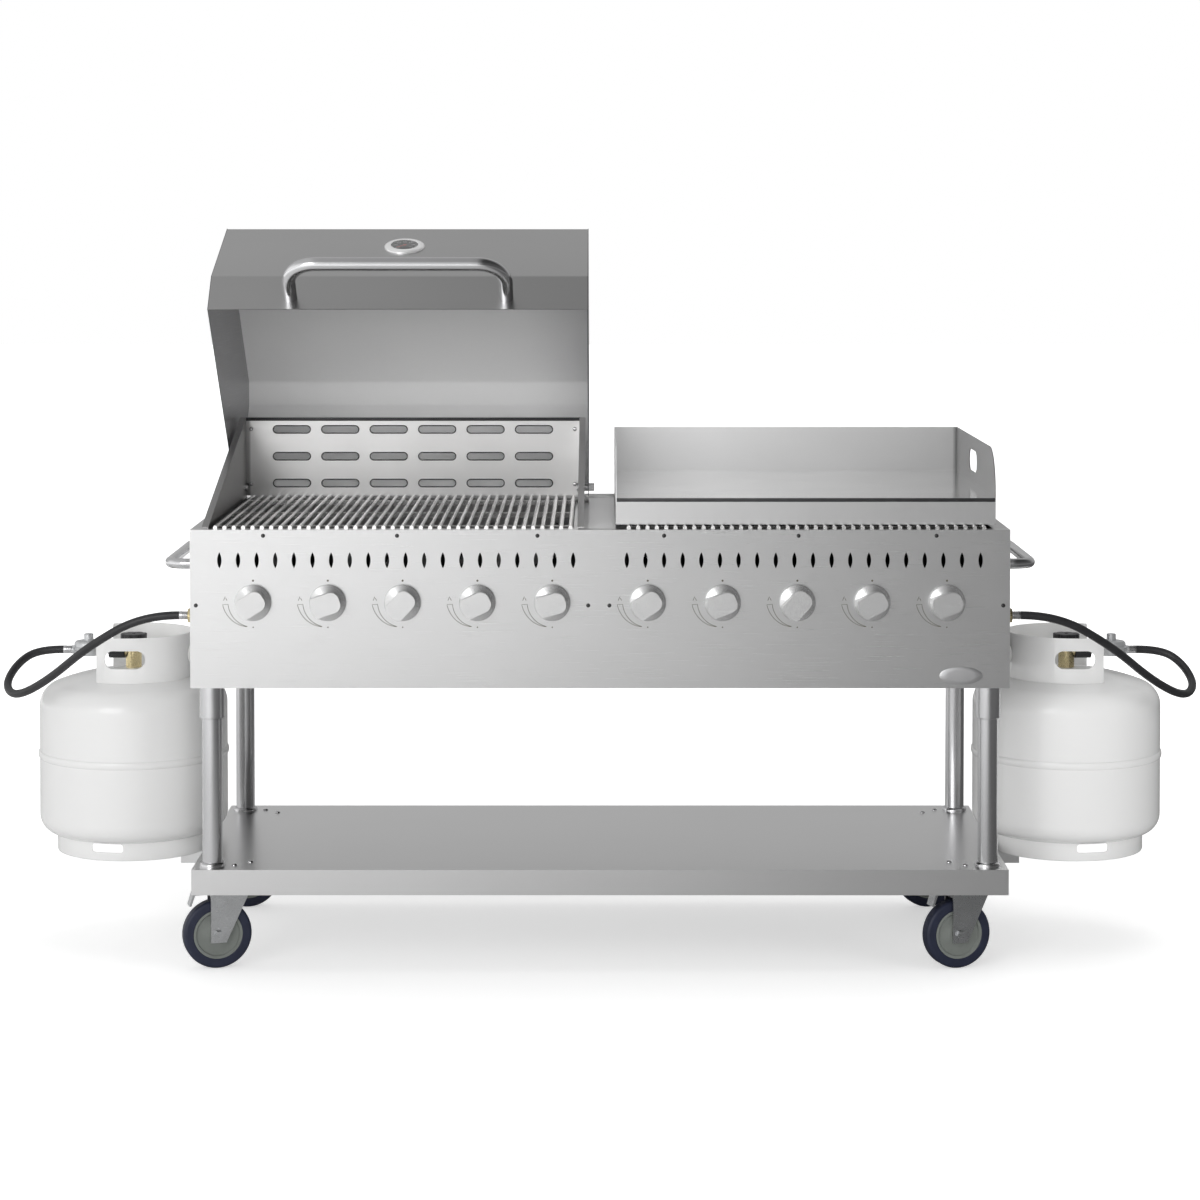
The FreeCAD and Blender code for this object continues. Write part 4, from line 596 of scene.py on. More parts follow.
@dataclass(frozen=True)
class Finish:
    """A surface with uneven colour and roughness.

    Attributes:
        name: Its name.
        color: Its colour.
        metallic: 1 for bare metal and 0 for the rest.
        roughness: Its middle roughness.
        uneven: How far its colour swings to each side, as a share.
        patch: Noise scale of the uneven colour, per metre.
        grain: Stretch of the fine grain along X, Y and Z, per metre.
        depth: Height of the grain, in micrometres.
        rough_swing: How far the roughness swings with the grain.
        coat: Clear coat over it.
        coat_roughness: The coat's roughness.
    """

    name: str
    color: Point
    metallic: float
    roughness: float
    uneven: float
    patch: float
    grain: Point
    depth: float
    rough_swing: float
    coat: float = 0.0
    coat_roughness: float = 0.08

    @property
    def label(self) -> str:
        """The material's name, which no slot of the frame has."""
        return f"{self.name}_finish"

    def material(self) -> bpy.types.Material:
        """The finish as a material, made once."""
        return bpy.data.materials.get(self.label) or self._make()

    def _make(self) -> bpy.types.Material:
        """Build the material.

        Returns:
            The new material.
        """
        made = bpy.data.materials.new(self.label)
        made.use_nodes = True
        tree = made.node_tree
        place = node(tree, "TexCoord").outputs["Object"]
        stretch = node(tree, "Mapping", {"Vector": place, "Scale": self.grain}).outputs["Vector"]
        patches = self._mottle(tree, place, self.patch, 1.0, self.uneven)
        fine = self._mottle(tree, stretch, 1.0, self.roughness, self.rough_swing)
        tone = self._tone(tree, place, patches["Value"])
        tint = node(tree, "VectorMath", {0: self.color, "Scale": tone}, operation="SCALE")
        bump = {"Strength": 1.0, "Distance": self.depth * MICRON, "Height": fine["Height"]}
        feed(tree, tree.nodes["Principled BSDF"], {
            "Base Color": tint.outputs["Vector"],
            "Metallic": self.metallic,
            "Roughness": fine["Value"],
            "Normal": node(tree, "Bump", bump).outputs["Normal"],
            "Coat Weight": self.coat,
            "Coat Roughness": self.coat_roughness,
        })
        return made

    def _mottle(self, tree: Tree, place: Socket, scale: float, middle: float,
                swing: float) -> bpy.types.NodeOutputs:
        """Add uneven patches.

        Args:
            tree: The material's node tree.
            place: The socket with the coordinates.
            scale: The patches' noise scale.
            middle: Their middle value.
            swing: How far they swing to each side.

        Returns:
            The sockets with their value and height.
        """
        feeds = {"Vector": place, "Scale": scale, "Low": middle - swing, "High": middle + swing}
        return node(tree, "Group", feeds, node_tree=mottle()).outputs

    def _tone(self, tree: Tree, place: Socket, uneven: Socket) -> Socket:
        """The socket that scales the colour: the uneven one as it is."""
        return uneven


@dataclass(frozen=True)
class EndShade(Finish):
    """A sheet whose colour is darkened along X towards its end, where it is folded up: painted shade.

    Attributes:
        steps: What is left of the colour along X, one step after another: the painted shade.
    """

    steps: tuple[Ramp, ...] = ()

    def _tone(self, tree: Tree, place: Socket, uneven: Socket) -> Socket:
        """The uneven colour's scale, smaller after each step of painted shade.

        Args:
            tree: The material's node tree.
            place: The socket with the coordinates.
            uneven: The socket with the uneven colour's scale.

        Returns:
            The socket that scales the colour.
        """
        along = node(tree, "SeparateXYZ", {"Vector": place}).outputs["X"]
        for step in self.steps:
            uneven = product(tree, uneven, step.along(tree, along))
        return uneven


@dataclass(frozen=True)
class ClearGlass(Finish):
    """Clear glass with a trace of unevenness."""

    refraction: float = 1.45

    def _make(self) -> bpy.types.Material:
        """Build the material, with light passing through.

        Returns:
            The new material.
        """
        made = super()._make()
        clear = {"Transmission Weight": 1.0, "IOR": self.refraction}
        feed(made.node_tree, made.node_tree.nodes["Principled BSDF"], clear)
        return made


def grey(level: float) -> Point:
    """A colour without hue."""
    return (level, level, level)


# Stretches of the grain along X, Y and Z
ALONG_X = (6.0, 900.0, 900.0)
ALONG_Y = (900.0, 6.0, 900.0)
ALONG_Z = (900.0, 900.0, 6.0)
ALL_WAYS = (500.0,) * 3
MOULDED = (700.0,) * 3
CAST = (900.0,) * 3
PLATED = (1500.0,) * 3
SPRAYED = (260.0,) * 3

# Painted shade along X: the wind guard's left end, the griddle guard's wall towards its right, and its right
# cheek
GUARD_END_PAINTED_SHADE = Ramp((-0.785, -0.79), (1.0, 0.5), Slope.STRAIGHT)
SPLASH_WALL_PAINTED_SHADE = Ramp((0.25, 0.8), (1.0, 0.62), Slope.STRAIGHT)
SPLASH_CHEEK_PAINTED_SHADE = Ramp((0.796, 0.804), (1.0, 0.36), Slope.STRAIGHT)

# Each finish has its fields in order: name, color, metallic, roughness, uneven, patch, grain, depth and
# rough_swing
PANEL_STEEL = Finish("panel_steel", grey(0.74), 1.0, 0.28, 0.012, 2.0, ALONG_X, 0.6, 0.008)
END_STEEL = Finish("end_steel", grey(0.68), 1.0, 0.34, 0.025, 2.0, ALONG_Y, 5.0, 0.03)
LID_STEEL = Finish("lid_steel", grey(0.58), 1.0, 0.3, 0.02, 2.0, ALONG_X, 1.0, 0.01)
# The lid's inner side: near-white and hardly metallic, painted light for the light inside the open lid
LID_INSIDE_PAINTED_LIGHT = Finish("lid_inside", grey(0.97), 0.02, 0.36, 0.02, 3.0, ALONG_X, 8.0, 0.04)
# The lid's side plates: the lid's steel darkened as painted shade
LID_SIDE_PAINTED_SHADE = Finish("lid_side_steel", (0.28, 0.28, 0.29), 1.0, 0.3, 0.03, 2.0, ALONG_Y, 4.0, 0.03)
# The guard and splash steels carry these steps of painted shade towards their ends
GUARD_STEEL = EndShade("guard_steel", (0.78, 0.775, 0.77), 1.0, 0.33, 0.04, 5.0, ALONG_X, 6.0, 0.04,
                       steps=(GUARD_END_PAINTED_SHADE,))
SPLASH_STEEL = EndShade("splash_steel", grey(0.95), 0.55, 0.3, 0.02, 4.0, ALONG_X, 2.0, 0.02,
                        steps=(SPLASH_WALL_PAINTED_SHADE, SPLASH_CHEEK_PAINTED_SHADE))
SHELF_STEEL = Finish("shelf_steel", grey(0.85), 1.0, 0.28, 0.015, 2.0, ALONG_X, 0.5, 0.006)
GRATE_STEEL = Finish("grate_steel", (0.94, 0.935, 0.925), 0.9, 0.15, 0.04, 14.0, ALONG_Y, 30.0, 0.08)
GRIDDLE_STEEL = Finish("griddle_steel", grey(0.95), 0.9, 0.13, 0.07, 7.0, ALONG_X, 15.0, 0.06)
# Burners, supports, heat tents and drip trays: near-black, painted shade inside the firebox
FIREBOX_PAINTED_SHADE = Finish("burner_steel", (0.022, 0.021, 0.02), 0.5, 0.6, 0.14, 9.0, ALONG_Y, 40.0, 0.08)
BRIGHT_TUBE = Finish("bright_tube", (0.72, 0.72, 0.73), 1.0, 0.16, 0.02, 5.0, ALL_WAYS, 4.0, 0.04)
LEG_STEEL = Finish("leg_steel", (0.67, 0.67, 0.68), 1.0, 0.22, 0.03, 5.0, ALONG_Z, 8.0, 0.05)
KNOB_METAL = Finish("knob_metal", grey(0.68), 0.8, 0.25, 0.02, 30.0, PLATED, 6.0, 0.05)
BEZEL_CHROME = Finish("bezel_chrome", grey(0.92), 0.5, 0.2, 0.02, 40.0, ALL_WAYS, 2.0, 0.03)
DIAL_FACE = Finish("dial_face", (0.025, 0.025, 0.028), 0.0, 0.45, 0.12, 90.0, ALL_WAYS, 10.0, 0.05)
DIAL_INK = Finish("dial_ink", (0.82, 0.82, 0.80), 0.0, 0.5, 0.04, 200.0, ALL_WAYS, 4.0, 0.04)
NEEDLE_RED = Finish("needle_red", (0.62, 0.05, 0.04), 0.0, 0.4, 0.06, 200.0, ALL_WAYS, 4.0, 0.04)
DIAL_GLASS = ClearGlass("dial_glass", grey(1.0), 0.0, 0.03, 0.0, 60.0, ALL_WAYS, 0.5, 0.015)
PANEL_INK = Finish("panel_ink", (0.12, 0.11, 0.08), 0.0, 0.5, 0.12, 300.0, ALL_WAYS, 4.0, 0.05)
# Near-black: painted shade, for the guard's top strip, the griddle plate's front edge and the slot rims
PAINTED_SHADE_DARK = Finish("edge_steel", (0.055, 0.055, 0.057), 0.6, 0.45, 0.15, 40.0, ALONG_X, 20.0, 0.06)
SCREW_STEEL = Finish("screw_steel", grey(0.10), 1.0, 0.4, 0.1, 300.0, ALL_WAYS, 10.0, 0.06)
PLATE_STEEL = Finish("plate_steel", (0.86, 0.86, 0.87), 1.0, 0.3, 0.02, 30.0, ALONG_X, 1.0, 0.02)
CYLINDER_PAINT = Finish("cylinder_paint", (0.88, 0.88, 0.875), 0.0, 0.24, 0.008, 6.0, SPRAYED, 1.0, 0.02,
                        coat=0.35)
REGULATOR_GREY = Finish("regulator_grey", (0.64, 0.65, 0.66), 0.65, 0.42, 0.07, 60.0, CAST, 40.0, 0.06)
BRASS = Finish("brass", (0.80, 0.68, 0.40), 1.0, 0.28, 0.07, 60.0, ALL_WAYS, 10.0, 0.06)
NUT_BLACK = Finish("nut_black", (0.022, 0.022, 0.024), 0.0, 0.42, 0.15, 60.0, CAST, 30.0, 0.06)
HOSE_RUBBER = Finish("hose_rubber", (0.022, 0.022, 0.024), 0.0, 0.4, 0.16, 50.0, CAST, 40.0, 0.07)
FERRULE_ZINC = Finish("ferrule_zinc", (0.62, 0.62, 0.63), 1.0, 0.27, 0.06, 80.0, ALL_WAYS, 10.0, 0.05)
PIPE_PAINT = Finish("pipe_paint", grey(0.05), 0.0, 0.5, 0.12, 20.0, ALL_WAYS, 30.0, 0.06)
CASTER_ZINC = Finish("caster_zinc", (0.60, 0.61, 0.62), 1.0, 0.3, 0.06, 30.0, ALL_WAYS, 20.0, 0.06)
TREAD_RUBBER = Finish("tread_rubber", (0.018, 0.022, 0.045), 0.0, 0.5, 0.14, 40.0, MOULDED, 50.0, 0.07)
HUB_GREY = Finish("hub_grey", (0.19, 0.205, 0.19), 0.0, 0.45, 0.06, 40.0, MOULDED, 30.0, 0.06)
HUB_DARK = Finish("hub_dark", (0.06, 0.062, 0.07), 0.0, 0.45, 0.12, 50.0, MOULDED, 30.0, 0.06)

NODE_FINISHES: dict[Finish, tuple[str, ...]] = {
    PANEL_STEEL: ("front_panel", "rear_panel"),
    END_STEEL: ("left_end_panel", "right_end_panel", "shelf_stiffeners"),
    SHELF_STEEL: ("shelf", "tank_arms", "griddle_apron"),
    LID_SIDE_PAINTED_SHADE: ("lid_sides",),
    GUARD_STEEL: ("wind_guard",),
    SPLASH_STEEL: ("griddle_guard", "centre_bridge"),
    GRIDDLE_STEEL: ("griddle_plate",),
    GRATE_STEEL: ("left_grate", "right_grate"),
    FIREBOX_PAINTED_SHADE: ("burners", "burner_supports", "heat_tents", "drip_trays"),
    PIPE_PAINT: ("manifold",),
    BRASS: ("gas_valves", "tank_valves"),
    BRIGHT_TUBE: ("hinge_bolts",),
    CASTER_ZINC: ("caster_plates", "front_left_fork", "front_right_fork", "rear_left_fork",
                  "rear_right_fork", "front_left_brake_pedal", "front_right_brake_pedal"),
}


def dress_frame(nodes: dict[str, Piece]) -> None:
    """Give every node of the frame that is shown its finish.

    Args:
        nodes: The frame's nodes by name.
    """
    for finish, names in NODE_FINISHES.items():
        for name in names:
            nodes[name].data.materials.clear()
            nodes[name].data.materials.append(finish.material())


def dress(piece: Piece, finish: Finish, slot: str, *stands_for: str, body: str = ROOT,
          inside: Finish | None = None) -> Piece:
    """Finish a piece and tie it to its body.

    Args:
        piece: The piece, in place.
        finish: Its surface.
        slot: The record's material slot; not used.
        stands_for: The frame's nodes that it takes the place of.
        body: The body that it moves with.
        inside: The surface of its inner side, where it gets one later.

    Returns:
        The same piece.
    """
    piece.data.materials.append(finish.material())
    if inside:
        piece.data.materials.append(inside.material())
    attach(piece, body)
    if stands_for:
        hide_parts(*stands_for)
    LOG.info("%s on %s", piece.name, body)
    return piece


# Studio


@dataclass(frozen=True)
class Lamp:
    """A square soft light.

    Attributes:
        name: Its name.
        place: Where it hangs.
        target: The point that it looks at.
        size: Its side.
        power: Its power in watts.
        mirrored: Whether metals mirror it.
    """

    name: str
    place: Point
    target: Point
    size: float
    power: float
    mirrored: bool = False

    def hang(self) -> None:
        """Add the light to the scene."""
        light = bpy.data.lights.new(self.name, "AREA")
        light.shape = "SQUARE"
        light.size = self.size
        light.energy = self.power
        lamp = bpy.data.objects.new(self.name, light)
        lamp.location = self.place
        lamp.rotation_euler = (Vector(self.target) - Vector(self.place)).to_track_quat("-Z", "Y").to_euler()
        lamp.visible_glossy = self.mirrored
        bpy.context.scene.collection.objects.link(lamp)


@dataclass
class Studio:
    """The camera at the photograph's place, the floor, the surround and the lamps."""

    distance: float = 6.1
    height: float = 1.54
    lens: float = 90.45
    sensor: float = 36.0
    shift_y: float = -0.2308
    tilt: float = 2.0
    far: float = 200.0
    floor_reach: float = 60.0
    floor_gap: float = 0.0006
    floor_tone: float = 0.9
    floor_roughness: float = 0.9
    floor_glow: Ramp = Ramp((1.2, 4.5), (0.5, 1.0))
    floor_sheen: Ramp = Ramp((2.0, 9.0), (0.0, 0.85))
    floor_across: Ramp = Ramp((-2.0, 2.0), (1.0, 0.14))
    front_light: Ramp = Ramp((-0.33, 0.33), (1.1, 0.1))
    back_light: Ramp = Ramp((-0.4, 0.4), (0.5, 0.4))
    backward: Ramp = Ramp((0.1, 0.7), (0.0, 1.0))
    ceiling: Ramp = Ramp((0.15, 0.75), (1.0, 0.5))
    lamps: tuple[Lamp, ...] = (
        Lamp("key_softbox", (-3.2, -6.2, 2.9), (0.0, 0.0, 0.8), 3.2, 80.0, True),
        Lamp("front_softbox", (0.6, -8.0, 1.1), (0.0, 0.0, 0.9), 3.0, 150.0),
        Lamp("top_softbox", (0.6, 0.6, 5.2), (0.0, 0.0, 0.6), 4.0, 90.0),
        Lamp("fill_softbox", (4.4, -3.4, 2.4), (0.4, 0.0, 0.6), 2.6, 45.0),
    )

    def set_up(self) -> None:
        """Build everything round the object."""
        self.camera()
        self.floor()
        self.world()
        for lamp in self.lamps:
            lamp.hang()
        bpy.context.scene.view_settings.view_transform = "Standard"

    def camera(self) -> None:
        """A long lens in front of the panel, nearly level, with its frame shifted down."""
        lens = bpy.data.cameras.new("camera")
        lens.lens = self.lens
        lens.sensor_width = self.sensor
        lens.shift_y = self.shift_y
        lens.clip_end = self.far
        camera = bpy.data.objects.new("camera", lens)
        camera.location = (0.0, FRONT_Y - self.distance, self.height)
        camera.rotation_euler = (math.radians(90.0 - self.tilt), 0.0, 0.0)
        bpy.context.scene.collection.objects.link(camera)
        bpy.context.scene.camera = camera

    def floor(self) -> None:
        """A wide pale floor that reads as white to the camera outside the object's shadow."""
        only(None)
        bpy.ops.mesh.primitive_plane_add(size=self.floor_reach, location=(0.0, 0.0, -self.floor_gap))
        floor = settle(named(bpy.context.object, "studio_floor"))
        made = bpy.data.materials.new("studio_floor")
        made.use_nodes = True
        tree = made.node_tree
        place = node(tree, "TexCoord").outputs["Object"]
        path = node(tree, "LightPath").outputs
        away = node(tree, "VectorMath", {0: place}, operation="LENGTH").outputs["Value"]
        across = self.floor_across.along(tree, node(tree, "SeparateXYZ", {"Vector": place}).outputs["X"])
        seen = product(tree, self.floor_glow.along(tree, away), path["Is Camera Ray"])
        sheen = product(tree, self.floor_sheen.along(tree, away), across)
        mirrored = product(tree, sheen, path["Is Glossy Ray"])
        total = node(tree, "Math", {0: seen, 1: mirrored}, operation="ADD")
        feed(tree, tree.nodes["Principled BSDF"], {
            "Base Color": mixed(tree, path["Is Glossy Ray"], self.floor_tone, across),
            "Roughness": self.floor_roughness,
            "Emission Color": WHITE,
            "Emission Strength": total.outputs["Value"],
        })
        floor.data.materials.append(made)

    def world(self) -> None:
        """A white surround for the camera, and for the rest a room with a bright left and a dim ceiling."""
        world = bpy.data.worlds.new("studio")
        bpy.context.scene.world = world
        world.use_nodes = True
        tree = world.node_tree
        way = node(tree, "SeparateXYZ", {"Vector": node(tree, "TexCoord").outputs["Generated"]}).outputs
        front = product(tree, self.front_light.along(tree, way["X"]), self.ceiling.along(tree, way["Z"]))
        back = self.back_light.along(tree, way["X"])
        room = mixed(tree, self.backward.along(tree, way["Y"]), front, back)
        seen = mixed(tree, node(tree, "LightPath").outputs["Is Camera Ray"], room, 1.0)
        feed(tree, tree.nodes["Background"], {"Color": WHITE, "Strength": seen})


# Sub-assemblies


class Assembly:
    """A part of the grill that makes its own pieces."""

    def build(self) -> None:
        """Make every piece and dress it."""
        raise NotImplementedError


@dataclass
class GasHose(Assembly):
    """A rubber hose from one end of the panel to its regulator, with crimped ferrules and a brass nut."""

    side: Side
    radius: float = 0.0085
    length: float = 0.70
    ferrule_length: float = 0.0185
    ferrule_sides: int = 40
    grooves: tuple[float, ...] = (0.36, 0.56, 0.76)
    groove_radius: float = 0.92
    inlet: Point = (0.833, 0.045, 0.727)
    nut_radius: float = 0.016
    nut_length: float = 0.0095
    nut_edge: float = 0.0012
    route: tuple[Point, ...] = (
        (0.861, 0.045, 0.727),
        (0.935, 0.045, 0.727),
        (1.050, 0.066, 0.661),
        (1.150, 0.140, 0.577),
        (1.226, 0.192, 0.535),
        (1.261, 0.258, 0.550),
        (1.246, 0.318, 0.588),
        (1.205, 0.345, 0.614),
        (1.1515, 0.345, 0.614),
    )

    def build(self) -> None:
        """The ferrules, the hose between them and the nut."""
        self.hose(self.ferrules())
        self.nut()

    def spot(self, point: Point) -> Point:
        """A point of the right hose, on this hose's side of the grill."""
        return from_front((self.side.value * point[0], *point[1:]))

    def hose(self, ends: list[Piece]) -> None:
        """The hose as a smooth line through its route.

        Args:
            ends: Its ferrules; not used.
        """
        name = f"{self.side.word}_gas_hose"
        piece, spline = curved(name, "NURBS", len(self.route), bevel_depth=self.radius, bevel_resolution=6,
                               resolution_u=24, use_fill_caps=True)
        for knot, point in zip(spline.points, self.route):
            knot.co = (*self.spot(point), 1.0)
        spline.order_u = 3
        spline.use_endpoint_u = True
        dress(piece, HOSE_RUBBER, "hose_rubber", f"{self.side.word}_hose")

    def ferrules(self) -> list[Piece]:
        """The crimped ends of the hose, with shallow grooves.

        Returns:
            The ferrule at the inlet and the one at the regulator.
        """
        long, wide, narrow = self.ferrule_length, self.radius, self.groove_radius * self.radius
        profile = [(0.72 * wide, 0.0), (0.94 * wide, 0.0002), (wide, 0.0012), (wide, 0.30 * long)]
        for start in self.grooves:
            for radius, share in ((wide, 0.0), (narrow, 0.03), (narrow, 0.09), (wide, 0.12)):
                profile.append((radius, (start + share) * long))
        profile += [(wide, long - 0.001), (0.96 * wide, long)]
        pieces = []
        for end, point in (("inlet", self.route[0]), ("outlet", self.route[-1])):
            piece = turned(f"{self.side.word}_{end}_ferrule", profile, self.ferrule_sides)
            settle(piece, shift(*self.spot(point)) @ turn(-90.0 * self.side.value, Axis.Y))
            pieces.append(dress(piece, FERRULE_ZINC, "bright_steel", "hose_ferrules"))
        return pieces

    def nut(self) -> None:
        """A hexagonal brass nut with rounded corners on the panel's end."""
        x, y, z = self.inlet
        start, end = self.spot((x, y, z)), self.spot((x + self.nut_length, y, z))
        nut = drum(f"{self.side.word}_inlet_nut", self.nut_radius, start, end, 6)
        dress(smooth(rounded(nut, self.nut_edge, 2)), BRASS, "brass", "inlet_nuts")


@dataclass(frozen=True)
class Dish:
    """A dished end of a cylinder.

    Attributes:
        apex: Height of its apex.
        crown: Radius of its crown.
        knuckle: Radius of the bend between crown and wall.
        way: 1 for a top end and -1 for a bottom end.
        steps: How many steps the crown and the knuckle have.
    """

    apex: float
    crown: float
    knuckle: float
    way: float
    steps: int = 12

    def height(self, radius: float) -> float:
        """Height of the crown at a radius."""
        return self.apex - self.way * (self.crown - math.sqrt(self.crown ** 2 - radius ** 2))

    def rings(self, wall: float) -> list[Pair]:
        """The profile from near the apex to the straight wall.

        Args:
            wall: The wall's radius.

        Returns:
            Radius and height of each ring.
        """
        centre, offset = self.apex - self.way * self.crown, wall - self.knuckle
        rise = math.sqrt((self.crown - self.knuckle) ** 2 - offset ** 2)
        lean = math.degrees(math.atan2(rise, offset))
        crown = arc((0.0, centre), (self.crown, self.way * self.crown), 90.0, lean, self.steps)
        bend = (self.knuckle, self.way * self.knuckle)
        knuckle = arc((offset, centre + self.way * rise), bend, lean, 0.0, self.steps)
        return crown[1:] + knuckle[1:]


@dataclass
class PropaneCylinder(Assembly):
    """A white cylinder with a seam, a foot ring, a collar, a regulator and a handwheel.

    Its pieces are made about its own axis with +X outboard, and then put in place.
    """

    side: Side
    axis: Pair = (1.001, 0.345)
    radius: float = 0.1995
    low_end: Dish = Dish(0.214, 0.955, 0.040, -1.0)
    high_end: Dish = Dish(0.577, 0.477, 0.050, 1.0)
    seam_z: float = 0.397
    seam_height: float = 0.016
    seam_proud: float = 0.003
    ring_radius: float = 0.163
    ring_low: float = 0.190
    ring_sheet: float = 0.003
    ring_slot: tuple[Point, Point] = ((0.0, -0.3, 0.208), (0.066, 0.3, 0.226))
    ring_slot_corner: float = 0.006
    collar_radius: float = 0.129
    collar_sheet: float = 0.0035
    collar_top: float = 0.655
    collar_edge: float = 0.0006
    mouth: float = 0.062
    tool: float = 0.3
    margin: float = 0.01
    hand_hole: Pair = (0.085, 0.038)
    hand_hole_corner: float = 0.0185
    hand_hole_z: float = 0.609
    gas_z: float = 0.614
    nut_radius: float = 0.018
    nut_ends: Pair = (0.018, 0.052)
    grip_circle: float = 0.0188
    grip_radius: float = 0.0022
    neck_radius: float = 0.009
    regulator_x: float = 0.0965
    regulator_radius: float = 0.0345
    regulator_bowl: tuple[Pair, ...] = (
        (0.6, 0.602), (0.86, 0.603), (0.9, 0.606), (0.9, 0.6145), (0.97, 0.615), (1.0, 0.616), (1.0, 0.620),
        (0.97, 0.621), (0.9, 0.6215), (0.88, 0.629), (0.8, 0.6325), (0.6, 0.634), (0.29, 0.6342),
        (0.29, 0.6465), (0.26, 0.648),
    )
    screw_circle: float = 0.945
    screw_radius: float = 0.0026
    screw_ends: Pair = (0.6205, 0.6232)
    wheel_low: float = 0.6344
    wheel_radius: float = 0.028
    wheel_height: float = 0.014
    stem_radius: float = 0.0041
    lobe_circle: float = 0.031
    lobe_radius: float = 0.0062

    def build(self) -> None:
        """The cylinder from the foot up."""
        self.shell()
        self.foot_ring()
        self.collar()
        self.connector_nut()
        self.regulator()
        self.handwheel()

    def name(self, word: str) -> str:
        """A piece's name, with its side."""
        return f"{self.side.word}_{word}"

    def put(self, piece: Piece) -> Piece:
        """Put a piece that was made about the cylinder's axis in place.

        Args:
            piece: The piece.

        Returns:
            The same piece.
        """
        place = shift(self.side.value * self.axis[0], FRONT_Y + self.axis[1], 0.0)
        if self.side is Side.LEFT:
            place = place @ turn(180.0, Axis.Z)
        return settle(piece, place)

    def shell(self) -> None:
        """The pressure vessel with its weld seam."""
        seam = arc((self.radius, self.seam_z), (self.seam_proud, self.seam_height / 2), -90.0, 90.0, 8)
        profile = self.low_end.rings(self.radius) + seam + self.high_end.rings(self.radius)[::-1]
        piece = self.put(turned(self.name("cylinder"), profile, WIDE))
        dress(smooth(piece, 50.0), CYLINDER_PAINT, "cylinder_paint", "tank_shells")

    def foot_ring(self) -> None:
        """The ring under the cylinder, with a rolled lower edge and two slots."""
        outer, inner = self.ring_radius, self.ring_radius - self.ring_sheet
        low, high = self.ring_low, self.low_end.height(self.ring_radius)
        bend = low + self.ring_sheet
        profile = [(inner, high), (outer, high), (outer, bend), (outer - 0.0008, low + 0.0006),
                   (outer - 0.0015, low), (inner + 0.0006, low + 0.0004), (inner, bend), (inner, high)]
        ring = turned(self.name("foot_ring"), profile, WIDE)
        carve(ring, [rounded(slab("slot", *self.ring_slot), self.ring_slot_corner, 4, 60.0)])
        dress(smooth(self.put(ring)), CYLINDER_PAINT, "cylinder_paint", "tank_foot_rings")

    def collar(self) -> None:
        """The guard round the valve: open outboard, with hand holes and a rolled rim."""
        outer, half = self.collar_radius, self.collar_sheet / 2
        inner, low, top = outer - self.collar_sheet, self.high_end.height(outer), self.collar_top
        rim = arc((outer - half, top - half), (half, half), 0.0, 180.0, 8)
        collar = turned(self.name("collar"), [(inner, low), (outer, low), *rim, (inner, low)], WIDE)
        tool, margin = self.tool, self.margin
        mouth = slab("mouth", (self.mouth, -tool, low - margin), (tool, tool, top + margin))
        long, tall = self.hand_hole[0] / 2, self.hand_hole[1] / 2
        low, high = self.hand_hole_z - tall, self.hand_hole_z + tall
        front = slab("front_hole", (-long, -tool, low), (long, -self.mouth, high))
        inboard = slab("inboard_hole", (-tool, -long, low), (-self.mouth, long, high))
        if self.side is Side.LEFT:
            settle(front, turn(180.0, Axis.Z))
        holes = [rounded(hole, self.hand_hole_corner, 8, 60.0) for hole in (front, inboard)]
        carve(collar, [mouth, *holes])
        self.put(rounded(collar, self.collar_edge, 2, 50.0))
        dress(smooth(collar), CYLINDER_PAINT, "cylinder_paint", "tank_collars")

    def connector_nut(self) -> None:
        """The black nut between valve and regulator, with finger grips."""
        start, end = self.nut_ends
        name = self.name("connector_nut")
        nut = drum(name, self.nut_radius, (start, 0.0, self.gas_z), (end, 0.0, self.gas_z))
        grips = []
        for y, up in around(self.grip_circle, 12):
            z = self.gas_z + up
            grips.append(drum("grip", self.grip_radius, (start + 0.004, y, z), (end + 0.008, y, z), 10))
        self.put(rounded(carve(nut, grips), 0.0008, 2, 40.0))
        dress(smooth(nut), NUT_BLACK, "regulator_grey", "regulators")

    def regulator(self) -> None:
        """The round body with its neck, vent and seam of screws."""
        x, wide = self.regulator_x, self.regulator_radius
        profile = [(share * wide, z) for share, z in self.regulator_bowl]
        bowl = settle(turned("bowl", profile), shift(x, 0.0, 0.0))
        start, end = (self.nut_ends[1], 0.0, self.gas_z), (x + wide + 0.001, 0.0, self.gas_z)
        pieces = [bowl, drum("neck", self.neck_radius, start, end, 32)]
        low, high = self.screw_ends
        for out, y in around(self.screw_circle * wide, 6, 0.5):
            screw = drum("screw", self.screw_radius, (x + out, y, low), (x + out, y, high), 12)
            pieces.append(rounded(screw, 0.0005, 2))
        body = self.put(smooth(joined(self.name("regulator"), pieces)))
        dress(body, REGULATOR_GREY, "regulator_grey", "regulators")

    def handwheel(self) -> None:
        """A lobed black handwheel on the valve's stem."""
        low, high = self.wheel_low, self.wheel_low + self.wheel_height
        wheel = drum(self.name("valve_wheel"), self.wheel_radius, (0.0, 0.0, low), (0.0, 0.0, high), 72)
        low, high = low - self.margin, high + self.margin
        tools = [drum("stem_bore", self.stem_radius, (0.0, 0.0, low), (0.0, 0.0, high), 32)]
        for x, y in around(self.lobe_circle, 8):
            tools.append(drum("lobe", self.lobe_radius, (x, y, low), (x, y, high)))
        self.put(smooth(rounded(carve(wheel, tools), 0.0015)))
        body = self.name("handwheel")
        dress(wheel, NUT_BLACK, "black_plastic", body, body=body)


